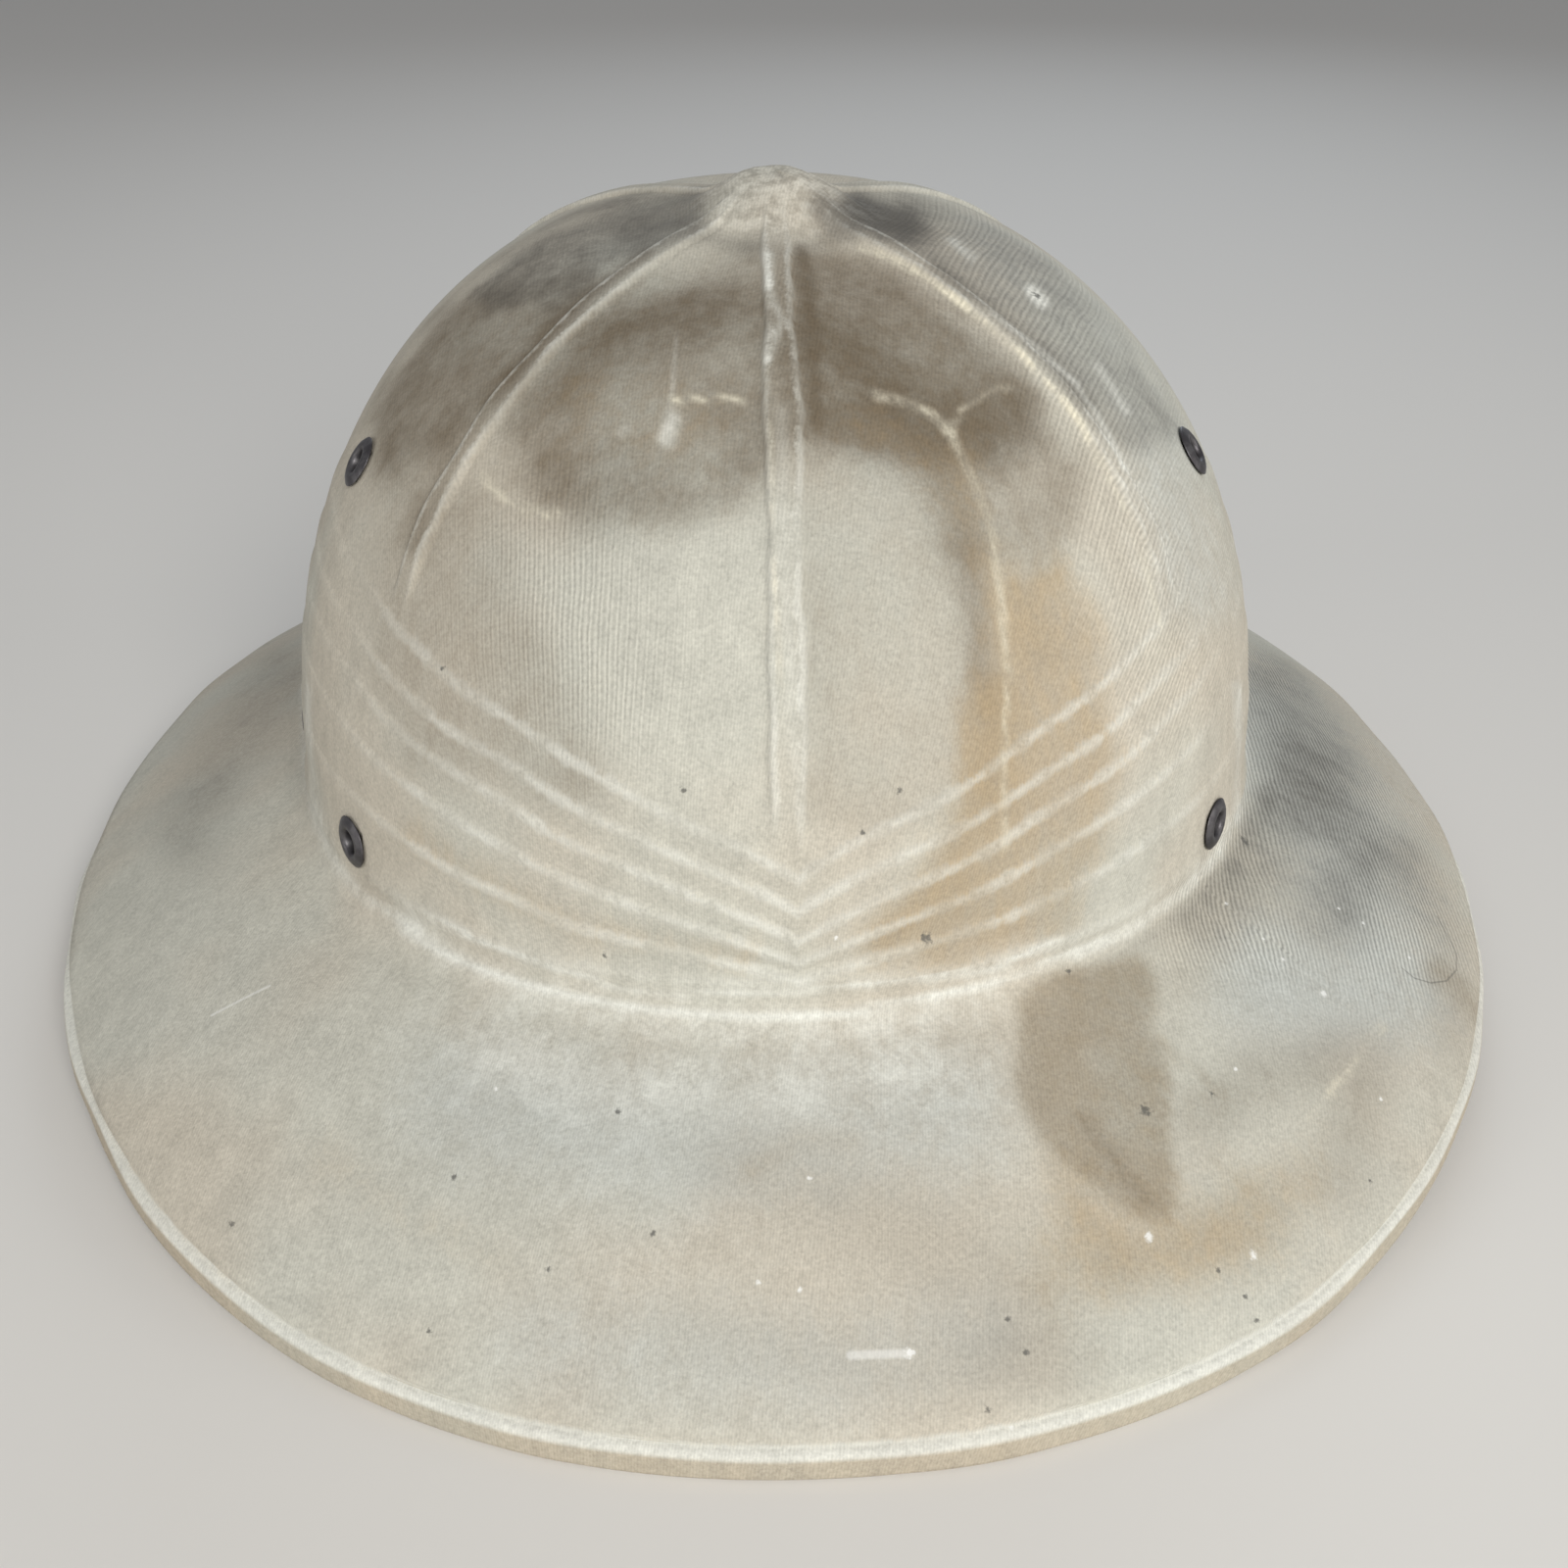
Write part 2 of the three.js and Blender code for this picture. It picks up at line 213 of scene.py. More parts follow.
def axisDistance(points):
    return np.hypot(points[..., 0], points[..., 1] + helmet["crownForward"])


def angleAtHeight(height):
    share = np.clip(height / crownRise, 0, 1)
    return np.arccos(share ** (helmet["heightPower"] / 2))


def angleAtRadius(azimuth, radius):
    reach = np.hypot(*crownReach(azimuth))
    return np.arcsin((radius / reach) ** (profilePower(azimuth) / 2))


def footPoint(azimuth):
    return crownPoint(azimuth, np.full_like(azimuth, math.pi / 2))


# A point of the brim: 0 is the foot of the wall, 1 is the top edge of the lip
def brimPoint(azimuth, part):
    part = np.broadcast_to(part, azimuth.shape)[..., None]
    point = lerp(footPoint(azimuth), rimPoint(azimuth, 0, helmet["lipHeight"]), part)
    point[..., 2] += helmet["brimBelly"] * 4 * (part * (1 - part))[..., 0]
    return point


def brimReach(azimuth):
    across = rimPoint(azimuth, 0, 0) - footPoint(azimuth)
    return np.hypot(across[..., 0], across[..., 1])


def filletPoint(azimuth, part):
    above = wallRow(helmet["filletUp"])(azimuth)
    corner = brimPoint(azimuth, 0)
    beside = brimPoint(azimuth, helmet["filletOut"] / brimReach(azimuth))
    return (1 - part) ** 2 * above + 2 * part * (1 - part) * corner + part**2 * beside


def foldHeight(fold, azimuth):
    side = np.abs(np.sin(azimuth))
    front = lerp(fold["front"], fold["side"], side ** relief["foldRise"])
    back = lerp(fold["back"], fold["side"], side)
    return np.where(np.cos(azimuth) > 0, front, back)


def turnBetween(azimuth, other):
    return np.arctan2(np.sin(azimuth - other), np.cos(azimuth - other))


# Rows of a skin: each is a function of azimuth that gives the row's points
def bossRow(radius):
    return lambda azimuth: crownPoint(azimuth, angleAtRadius(azimuth, radius))


def domeRow(part):
    def place(azimuth):
        start = angleAtRadius(azimuth, relief["bossRadius"])
        end = angleAtHeight(foldHeight(relief["folds"][0], azimuth) + coverForm["foldAbove"])
        return crownPoint(azimuth, lerp(start, end, part))
    return place


# A row below a fold's upper edge, or a part of the way on to the next fold
def foldRow(index, drop, part=0):
    def place(azimuth):
        upper = foldHeight(relief["folds"][index], azimuth) - drop
        if index + 1 < len(relief["folds"]):
            lower = foldHeight(relief["folds"][index + 1], azimuth)
        else:
            lower = np.full_like(azimuth, helmet["filletUp"])
        return crownPoint(azimuth, angleAtHeight(lerp(upper, lower, part)))
    return place


def wallRow(height):
    return lambda azimuth: crownPoint(azimuth, angleAtHeight(np.full_like(azimuth, height)))


def angleRow(angle):
    return lambda azimuth: crownPoint(azimuth, np.full_like(azimuth, angle))


def filletRow(part):
    return lambda azimuth: filletPoint(azimuth, part)


def brimRow(part):
    def place(azimuth):
        start = helmet["filletOut"] / brimReach(azimuth)
        return brimPoint(azimuth, lerp(start, 1, part))
    return place


def lipRow(inset, height):
    return lambda azimuth: rimPoint(azimuth, inset, height)


# Columns of a skin: they keep each welt's width, so their azimuth depends on the row's radius
def makeColumns(count, offsets):
    starts = np.radians(relief["welts"] + [relief["welts"][0] + 360])
    columns = []
    for start, end in zip(starts, starts[1:]):
        columns += [(start, end, 0, offset) for offset in offsets]
        inner = round(count * (end - start) / (2 * math.pi)) - 2 * len(offsets) + 1
        columns += [(start, end, (place + 1) / (inner + 1), offsets[-1]) for place in range(inner)]
        columns += [(start, end, 1, offset) for offset in offsets[:0:-1]]
    return np.array(columns).T


def azimuthsAt(columns, radius):
    start, end, part, offset = columns
    turn = offset / max(radius, relief["bossRadius"])
    return lerp(start + turn, end - turn, part)


def rowRadius(place):
    return axisDistance(place(np.radians([0.0, 90.0, 180.0, 270.0]))).mean()


# The grid of a face: its points and outward normals, row by row, before any relief
def faceGrid(rows, columns):
    radii = np.array([rowRadius(place) for place in rows])
    azimuth = np.stack([azimuthsAt(columns, radius) for radius in radii])
    points = np.stack([place(row) for place, row in zip(rows, azimuth)])
    along = np.roll(points, -1, 1) - np.roll(points, 1, 1)
    down = np.gradient(points, axis=0)
    normals = np.cross(down, along)
    normals /= np.maximum(np.linalg.norm(normals, axis=-1, keepdims=True), 1e-9)
    normals[np.linalg.norm(along, axis=-1) < 1e-6] = (0, 0, 1)
    part = columns[2]
    return {
        "azimuth": azimuth,
        "points": points,
        "normals": normals,
        "radii": radii,
        "height": points[..., 2] - helmet["wallFoot"],
        "radius": axisDistance(points),
        "panel": np.where((part > 0) & (part < 1), 4 * part * (1 - part), 0),
    }


# Where an eyelet sits on the crown, and which way it faces
def eyeletSeat(name, side):
    place = eyeletForm["places"][name]
    azimuth = side * math.radians(place["azimuth"])
    height = place["height"] - helmet["wallFoot"]
    turn = np.array([azimuth, azimuth + eyeletForm["seatTurn"], azimuth])
    rise = np.array([height, height, height + eyeletForm["seatRise"]])
    centre, beside, above = crownPoint(turn, angleAtHeight(rise))
    normal = np.cross(beside - centre, above - centre)
    return centre, normal / np.linalg.norm(normal)


def seatMatrix(name, side):
    centre, normal = eyeletSeat(name, side)
    matrix = Vector(normal).to_track_quat("Z", "Y").to_matrix().to_4x4()
    matrix.translation = Vector(centre) * mm
    return matrix


def eyeletMask(points):
    mask = np.ones(points.shape[:-1])
    for name, side in eyeletSeats:
        reach = np.linalg.norm(points - eyeletSeat(name, side)[0], axis=-1)
        mask *= smooth((reach - eyeletForm["radius"]) / (eyeletForm["clear"] - eyeletForm["radius"]))
    return mask


def dentDepth(azimuth, height):
    depth = 0
    for dent in relief["dents"]:
        across = turnBetween(azimuth, math.radians(dent["azimuth"])) / math.radians(dent["across"])
        along = (height - dent["height"]) / dent["along"]
        depth = depth + dent["depth"] * np.exp(-(across**2) - along**2)
    return depth * smooth(height / relief["dentFoot"])


# The hollows beside the boss, in the panels between the welts
def hollowDepth(grid):
    near = np.exp(-(((grid["radius"] - relief["hollowRadius"]) / relief["hollowSpread"]) ** 2))
    return relief["hollowDepth"] * grid["panel"] * near


def weltDistance(azimuth, radii):
    turns = [np.abs(turnBetween(azimuth, math.radians(welt))) for welt in relief["welts"]]
    return np.min(turns, axis=0) * np.maximum(radii, relief["bossRadius"])[:, None]


# Height of each fold's step over the wall, out at its edge and back to nothing at the next one
def foldRelief(azimuth, height):
    edges = [foldHeight(fold, azimuth) for fold in relief["folds"]]
    edges.append(np.full_like(height, helmet["filletUp"] - relief["foldEnd"]))
    lift = np.zeros_like(height)
    for upper, lower in zip(edges, edges[1:]):
        drop = upper - height
        run = np.maximum(upper - lower - relief["foldEdge"], relief["foldNarrow"])
        back = np.clip((drop - relief["foldEdge"]) / run, 0, 1)
        step = smooth(drop / relief["foldEdge"]) * (1 - back) ** relief["foldFall"]
        lift = np.where((drop > 0) & (height > lower), step * relief["foldStep"], lift)
    return lift * lerp(relief["foldSide"], 1, foldWear(azimuth))


# Distance in height to the nearest fold's proud edge
def foldDistance(azimuth, height):
    edges = [np.abs(height - foldHeight(fold, azimuth) + relief["foldEdge"]) for fold in relief["folds"]]
    return np.min(edges, axis=0)


# How worn the folds are: most at the front, hardly at the back
def foldWear(azimuth):
    part = smooth((np.cos(azimuth) - relief["wearStart"]) / relief["wearSpread"])
    return lerp(relief["wearLeast"], 1, part)


# How far a welt still stands out: it fades in the boss and over the first fold
def weltStrength(grid):
    first = angleAtHeight(foldHeight(relief["folds"][0], grid["azimuth"]))
    fade = smooth((first - angleAtHeight(grid["height"])) / relief["weltFade"])
    spread = relief["bossRadius"] - relief["bossCrown"]
    return fade * smooth((grid["radius"] - relief["bossCrown"]) / spread)


# Slow waves all over the pressed form, always the same ones
def slowWaves(points, name):
    form = waveForms[name]
    random = np.random.default_rng(form["seed"])
    wave = np.zeros(points.shape[:-1])
    for _ in range(waveCount):
        direction = random.normal(size=3)
        direction /= np.linalg.norm(direction)
        turn = points @ direction * (2 * math.pi / (form["size"] * random.uniform(*waveSpread)))
        wave += np.sin(turn + random.uniform(0, 2 * math.pi))
    return wave / waveCount**0.5


def meshFrom(shape, name):
    mesh = bpy.data.meshes.new(name)
    shape.to_mesh(mesh)
    shape.free()
    return mesh


def placed(mesh):
    piece = bpy.data.objects.new(mesh.name, mesh)
    bpy.context.scene.collection.objects.link(piece)
    return piece


# A closed skin through a grid of points: the sheet's two ends meet, and its first and last rows close up
def closeSkin(name, grid, attributes):
    rowCount, columnCount = grid.shape[:2]
    skin = bmesh.new()
    bmesh.ops.create_grid(skin, x_segments=columnCount, y_segments=rowCount - 1, size=1)
    mesh = meshFrom(skin, name)
    flat = np.zeros(len(mesh.vertices) * 3)
    mesh.vertices.foreach_get("co", flat)
    across, along = (flat.reshape(-1, 3)[:, :2].T + 1) / 2
    column = np.round(across * columnCount).astype(int) % columnCount
    row = np.round(along * (rowCount - 1)).astype(int)
    mesh.vertices.foreach_set("co", (grid[row, column] * mm).ravel())
    for label, values in attributes.items():
        kind, key = ("FLOAT_VECTOR", "vector") if values.ndim == 3 else ("FLOAT", "value")
        layer = mesh.attributes.new(label, kind, "POINT")
        layer.data.foreach_set(key, values[row, column].astype(np.float32).ravel())
    skin = bmesh.new()
    skin.from_mesh(mesh)
    bmesh.ops.remove_doubles(skin, verts=skin.verts, dist=0.00001)
    bmesh.ops.recalc_face_normals(skin, faces=skin.faces)
    skin.to_mesh(mesh)
    skin.free()
    mesh.shade_smooth()
    return placed(mesh)


# Drills that go through cloth and fibre at each eyelet
def makeDrills():
    drills = bmesh.new()
    radius = eyeletForm["drill"] * mm
    for name, side in eyeletSeats:
        bmesh.ops.create_cone(
            drills, cap_ends=True, segments=eyeletForm["drillSides"], radius1=radius, radius2=radius,
            depth=eyeletForm["drillLength"] * mm, matrix=seatMatrix(name, side),
        )
    return placed(meshFrom(drills, "drills"))


def drillThrough(piece, drills):
    cut = piece.modifiers.new("drill", "BOOLEAN")
    cut.operation = "DIFFERENCE"
    cut.solver = "MANIFOLD"
    cut.object = drills
    shown = piece.evaluated_get(bpy.context.evaluated_depsgraph_get())
    mesh = bpy.data.meshes.new_from_object(shown)
    skin = bmesh.new()
    skin.from_mesh(mesh)
    bmesh.ops.triangulate(skin, faces=[face for face in skin.faces if len(face.verts) > 4])
    bmesh.ops.dissolve_degenerate(skin, edges=skin.edges, dist=0.00001)
    skin.to_mesh(mesh)
    skin.free()
    piece.modifiers.clear()
    piece.data = mesh
    mesh.name = piece.name


# Camera at the photograph's place: its picture is 1600 pixels each way
photo = {
    "side": 1600,
    "focalPixels": 1895.96,
    "sensor": 36,
    "place": (-0.01139, -0.34814, 0.20618),
    "down": 29.03,
    "turn": 2.34,
}


def makeCamera():
    data = bpy.data.cameras.new("camera")
    data.sensor_width = photo["sensor"]
    data.lens = photo["sensor"] * photo["focalPixels"] / photo["side"]
    data.clip_start = 0.01
    camera = bpy.data.objects.new("camera", data)
    camera.location = photo["place"]
    camera.rotation_euler = (math.radians(90 - photo["down"]), 0, math.radians(-photo["turn"]))
    bpy.context.scene.collection.objects.link(camera)
    bpy.context.scene.camera = camera
    bpy.context.view_layer.update()
    return camera


# Where points in millimetres fall in the photograph, and how much they face the camera
def toPixels(points):
    view = np.array(camera.matrix_world.inverted())
    local = points * mm @ view[:3, :3].T + view[:3, 3]
    scale = photo["focalPixels"] / -local[..., 2:]
    return photo["side"] / 2 + local[..., :2] * scale * (1, -1)


def facesCamera(points, normals):
    toward = np.array(camera.location) / mm - points
    toward /= np.linalg.norm(toward, axis=-1, keepdims=True)
    return (normals * toward).sum(-1)


# The point in metres where a pixel of the photograph falls on a piece
def surfaceAt(piece, pixel):
    across, down = (np.array(pixel) - photo["side"] / 2) / photo["focalPixels"]
    way = camera.matrix_world.to_3x3() @ Vector((across, -down, -1))
    return piece.ray_cast(camera.location, way.normalized())[1]


camera = makeCamera()
print("camera made")

# Marks on the cloth, each along a path in the photograph's pixels, over its reach in pixels.
# Layers: grime is dark and greyish, grime and also painted shade beside the welts, on the boss and at the
# foot of the wall; soot is darker, mostly painted shade with some soot;
# ash is cool, and painted cool light on the far right; brown and tan are stains, pale is worn or bleached,
# line is a thin worn crease, weave is where the twill's ribs show.
Mark = namedtuple("Mark", "layer on reach strength path filled", defaults=[False])
marks = {
    "upperLeftPatch": Mark("grime", "crown", 44, 0.58, [
        (600, 375), (650, 335), (700, 322), (768, 322), (768, 450), (745, 500), (690, 512), (620, 508),
        (565, 490), (545, 440),
    ], filled=True),
    "upperLeftTop": Mark("grime", "crown", 24, 0.34, [
        (700, 262), (772, 256), (775, 318), (700, 312), (640, 325), (605, 338), (650, 290),
    ], filled=True),
    "upperLeftDark": Mark("grime", "crown", 30, 0.36, [(575, 400), (600, 365), (640, 342), (710, 335)]),
    "besideFrontWelt": Mark("grime", "crown", 30, 0.3, [(735, 425), (765, 440), (760, 470)]),
    "leftShoulder": Mark("grime", "crown", 30, 0.66, [
        (400, 470), (395, 430), (420, 385), (450, 345), (500, 305), (590, 285), (560, 330), (520, 370),
        (470, 410), (430, 450),
    ], filled=True),
    "leftWeltBeside": Mark("grime", "crown", 20, 0.36, [(515, 395), (480, 435), (450, 485), (425, 550)]),
    # Painted shade on the crown's top left, which faces away from the front lamp
    "topLeftShade": Mark("soot", "crown", 28, 0.62, [
        (500, 300), (560, 245), (640, 212), (705, 205), (690, 235), (620, 265), (560, 300),
    ], filled=True),
    "rightPanelTop": Mark("grime", "crown", 30, 0.66, [
        (815, 275), (880, 275), (940, 310), (1000, 360), (1040, 410), (1035, 440), (1000, 460),
        (960, 452), (900, 450), (850, 430), (815, 430),
    ], filled=True),
    "rightPanelDark": Mark("grime", "crown", 34, 0.55, [(835, 350), (870, 360), (905, 392)]),
    "rightArch": Mark("grime", "crown", 42, 0.5, [
        (970, 425), (1030, 425), (1078, 480), (1085, 530), (1050, 560), (1012, 540), (988, 485),
    ], filled=True),
    # The next three marks are painted shade, with some grime, on the boss's right flank and in the recess at
    # its foot
    "bossFlankShade": Mark("soot", "crown", 22, 0.62, [(838, 212), (862, 232)]),
    "bossFootShade": Mark("soot", "crown", 15, 0.4, [(712, 236), (745, 248), (790, 256), (832, 250)]),
    "bossRightShade": Mark("grime", "crown", 16, 0.46, [(834, 205), (848, 226), (846, 246)]),
    "rightWeltSecond": Mark("pale", "crown", 5, 0.5, [
        (1010, 318), (1055, 352), (1098, 392), (1130, 440), (1150, 480),
    ]),
    "brimCool": Mark("pale", "brim", 55, 0.42, [(500, 1075), (640, 1110), (800, 1115), (960, 1085)]),
    "brimAsh": Mark("ash", "brim", 110, 0.7, [(480, 1120), (700, 1160), (960, 1130)]),
    "brimAshLow": Mark("ash", "brim", 80, 0.55, [(560, 1370), (860, 1400), (1010, 1360)]),
    # The next two marks are painted cool, dim light on the far right of the brim and crown
    "brimCoolLightRight": Mark("ash", "brim", 90, 0.85, [(1290, 740), (1370, 860), (1410, 1010), (1300, 1000)]),
    "crownCoolLightRight": Mark("ash", "crown", 60, 0.6, [(1010, 240), (1110, 330), (1180, 450), (1220, 600)]),
    "brimBlotch": Mark("tan", "brim", 26, 0.36, [(770, 1195), (815, 1160), (870, 1165)]),
    "brimBlotchLeft": Mark("tan", "brim", 40, 0.28, [(330, 1180), (420, 1240), (520, 1290)]),
    "brimBlotchRight": Mark("tan", "brim", 45, 0.42, [(1210, 1270), (1260, 1250), (1330, 1200)]),
    "rightPanelArm": Mark("grime", "crown", 24, 0.42, [
        (860, 425), (915, 425), (955, 470), (980, 530), (1000, 620), (1010, 720),
    ]),
    "rightPanelBrown": Mark("tan", "crown", 30, 0.3, [(870, 430), (930, 450), (975, 520)]),
    "rightPanelFoot": Mark("tan", "crown", 34, 0.72, [(1010, 720), (1000, 820), (960, 900), (900, 960)]),
    "rightPanel": Mark("grime", "crown", 40, 0.36, [
        (830, 470), (930, 500), (985, 640), (990, 780), (900, 840), (835, 820),
    ], filled=True),
    "leftPanel": Mark("grime", "crown", 40, 0.28, [
        (400, 520), (480, 520), (520, 640), (600, 800), (440, 760), (390, 660),
    ], filled=True),
    "leftPanelWide": Mark("grime", "crown", 60, 0.2, [
        (430, 560), (550, 430), (610, 560), (600, 780), (530, 880), (430, 800),
    ], filled=True),
    "brimFront": Mark("grime", "brim", 90, 0.32, [(760, 1180), (900, 1240), (1040, 1320)]),
    "brimFrontLow": Mark("grime", "brim", 60, 0.28, [(700, 1360), (900, 1400), (1100, 1390)]),
    # The next two marks are painted shade in the hollows beside the boss, with some grime
    "bossHollowRightShade": Mark("soot", "crown", 24, 0.98, [(875, 212), (900, 226), (922, 232)]),
    "bossHollowLeftShade": Mark("soot", "crown", 20, 0.25, [(640, 238), (670, 232), (695, 222)]),
    # Painted shade on the crown's top right, which faces away from the front lamp
    "topRightShade": Mark("soot", "crown", 34, 0.5, [
        (930, 215), (1000, 235), (1070, 290), (1130, 360), (1180, 430), (1150, 440), (1090, 370),
        (1020, 305), (950, 262),
    ], filled=True),
    # The next three marks are painted shade lines beside the welts
    "frontWeltShade": Mark("grime", "crown", 9, 0.6, [(818, 256), (826, 300), (830, 350), (833, 425)]),
    "rightWeltShade": Mark("soot", "crown", 8, 0.4, [(955, 272), (1010, 312), (1060, 356), (1110, 410)]),
    "leftWeltShade": Mark("grime", "crown", 8, 0.5, [(520, 385), (560, 340), (600, 300), (660, 258)]),
    # The next three marks are painted shade on the brim at the foot of the crown's wall
    "leftFootShade": Mark("grime", "brim", 14, 0.15, [(305, 790), (318, 850), (345, 895), (372, 925)]),
    "rightFootShade": Mark("soot", "brim", 16, 0.34, [
        (1085, 1004), (1110, 995), (1160, 967), (1215, 927), (1258, 880), (1290, 815),
    ]),
    "rightFootShadeWide": Mark("soot", "brim", 48, 0.42, [(1235, 945), (1290, 880), (1320, 800)]),
    "bossTop": Mark("pale", "crown", 26, 0.24, [(745, 205), (790, 185), (822, 196), (780, 230)]),
    "frontWeltTop": Mark("pale", "crown", 8, 0.5, [
        (784, 262), (784, 296), (797, 325), (790, 348), (782, 366),
    ]),
    "frontWeltWorn": Mark("pale", "crown", 13, 0.36, [(797, 420), (800, 560), (808, 700), (815, 835)]),
    "frontWeltEdge": Mark("line", "crown", 5, 0.5, [(786, 430), (789, 560), (796, 700)]),
    "rightWeltRidge": Mark("line", "crown", 5.5, 0.8, [
        (880, 252), (915, 266), (950, 287), (986, 313), (1032, 350), (1075, 395), (1103, 432),
        (1122, 470),
    ]),
    "rightWeltLow": Mark("line", "crown", 6, 0.35, [(1122, 470), (1147, 520), (1170, 580), (1185, 640)]),
    "leftWeltRidge": Mark("pale", "crown", 14, 0.24, [
        (702, 246), (644, 280), (600, 312), (562, 348), (530, 388), (508, 424),
    ]),
    "leftWeltLow": Mark("pale", "crown", 14, 0.16, [(505, 430), (470, 470), (448, 500), (437, 560)]),
    "scuffDown": Mark("pale", "crown", 5, 0.32, [(690, 345), (686, 400), (683, 412)]),
    "scuffAcross": Mark("line", "crown", 5, 0.6, [(684, 409), (720, 406), (760, 408)]),
    "scuffBlob": Mark("pale", "crown", 13, 0.62, [(686, 428), (680, 448)]),
    "scuffSpot": Mark("pale", "crown", 10, 0.45, [(634, 440), (640, 436)]),
    "leftArc": Mark("line", "crown", 6, 0.5, [(491, 486), (512, 506), (545, 522), (570, 526)]),
    "rightCreaseTop": Mark("line", "crown", 7, 0.47, [
        (892, 402), (928, 412), (952, 424), (968, 440), (992, 488), (1012, 540),
    ]),
    "rightCreaseLoop": Mark("line", "crown", 6, 0.35, [(968, 440), (985, 415), (1010, 398), (1030, 395)]),
    "rightCreaseLow": Mark("line", "crown", 6, 0.48, [(1012, 540), (1022, 610), (1026, 680)]),
    "rightCreaseFoot": Mark("line", "crown", 5, 0.62, [
        (1030, 685), (1026, 740), (1023, 800), (1025, 868),
    ]),
    "ventScuffs": Mark("pale", "crown", 9, 0.5, [(970, 246), (992, 262)]),
    "ventScuffRing": Mark("pale", "crown", 9, 0.75, [(1052, 296), (1064, 308)]),
    "sideScuffs": Mark("pale", "crown", 7, 0.5, [(1118, 372), (1132, 392), (1150, 420)]),
    "tanRight": Mark("tan", "crown", 38, 0.66, [
        (1035, 600), (1070, 590), (1100, 660), (1112, 760), (1108, 860), (1075, 925), (1010, 955),
        (960, 970), (985, 930), (1020, 880), (1025, 780),
    ], filled=True),
    "tanCore": Mark("tan", "crown", 26, 0.42, [(1045, 615), (1062, 665)]),
    "tanUpper": Mark("tan", "crown", 30, 0.4, [(985, 470), (1005, 560)]),
    "tanBand": Mark("tan", "crown", 26, 0.42, [(420, 850), (500, 905), (600, 950), (760, 975)]),
    "tanPatch": Mark("tan", "crown", 60, 0.35, [(600, 420), (720, 440)]),
    "bandEdge": Mark("pale", "all", 4.5, 0.6, [
        (425, 920), (484, 958), (555, 984), (629, 1007), (700, 1014), (815, 1012), (936, 1000),
        (1016, 988), (1108, 944),
    ]),
    "beadLine": Mark("pale", "all", 5, 0.7, [
        (410, 945), (458, 975), (517, 999), (581, 1016), (657, 1029), (760, 1037), (850, 1035),
        (950, 1018), (1050, 990), (1130, 958),
    ]),
    "footWorn": Mark("pale", "all", 20, 0.34, [
        (425, 945), (470, 980), (540, 1012), (620, 1036), (700, 1048), (760, 1052), (860, 1048),
        (950, 1032), (1010, 1012),
    ]),
    "footWornLeft": Mark("pale", "all", 9, 0.5, [
        (312, 700), (313, 760), (317, 810), (328, 850), (345, 885), (370, 915), (425, 945),
    ]),
    "footWornRight": Mark("pale", "all", 9, 0.56, [
        (1100, 975), (1150, 950), (1205, 912), (1240, 875), (1262, 830), (1268, 770), (1262, 700),
    ]),
    "brimStain": Mark("brown", "brim", 18, 0.66, [
        (1043, 1055), (1047, 1028), (1100, 1001), (1150, 985), (1172, 1058), (1186, 1110), (1177, 1150),
        (1191, 1236), (1168, 1232), (1116, 1195), (1074, 1158), (1043, 1096),
    ], filled=True),
    "brimStainBelow": Mark("tan", "brim", 34, 0.5, [(1085, 1180), (1110, 1250), (1140, 1290)]),
    "brimRightLow": Mark("tan", "brim", 70, 0.46, [(1080, 1300), (1180, 1280), (1270, 1260)]),
    "brimRightMid": Mark("grime", "brim", 60, 0.42, [
        (1225, 1135), (1290, 1100), (1390, 1080), (1370, 1200),
    ]),
    "brimStainDark": Mark("grime", "brim", 16, 0.5, [
        (1105, 1142), (1130, 1172), (1150, 1205), (1172, 1226),
    ]),
    "brimStainLight": Mark("pale", "brim", 18, 0.35, [(1115, 1078), (1128, 1092)]),
    "brimTongue": Mark("brown", "brim", 10, 0.35, [(1186, 1065), (1220, 1090), (1256, 1124)]),
    "brimFaint": Mark("brown", "brim", 24, 0.3, [(1235, 1185), (1275, 1215)]),
    "edgeStain": Mark("brown", "brim", 20, 0.55, [(1468, 990), (1490, 1010), (1512, 1040)]),
    "wornStripe": Mark("line", "brim", 7, 0.55, [(1337, 1142), (1375, 1095), (1410, 1047)]),
    # Painted shadow of the crown on the brim behind it, with some grime
    "brimBackRightShadow": Mark("soot", "brim", 60, 0.52, [(1300, 700), (1350, 780), (1385, 870), (1365, 930)]),
    "brimEdgeRight": Mark("soot", "brim", 40, 0.34, [(1440, 880), (1475, 960), (1480, 1060)]),
    # Painted shadow of the crown on the brim behind it
    "brimBackLeftShadow": Mark("soot", "brim", 55, 0.45, [(290, 690), (230, 770), (190, 850)]),
    "weaveBrimRight": Mark("weave", "brim", 70, 1.0, [
        (1280, 680), (1340, 760), (1400, 850), (1430, 950),
    ]),
    "weaveBrimNear": Mark("weave", "brim", 45, 0.8, [(1285, 800), (1270, 880), (1225, 950), (1300, 960)]),
    "weaveCrownRight": Mark("weave", "crown", 60, 0.45, [
        (980, 250), (1060, 320), (1120, 430), (1160, 560), (1190, 700),
    ]),
    "weaveCrownLeft": Mark("weave", "crown", 80, 0.5, [(560, 560), (600, 700), (560, 640)]),
}
markLayers = sorted({mark.layer for mark in marks.values()})
stainAndShadeUneven = 5  # pixels that the edge of a filled stain or a filled patch of painted shade wanders


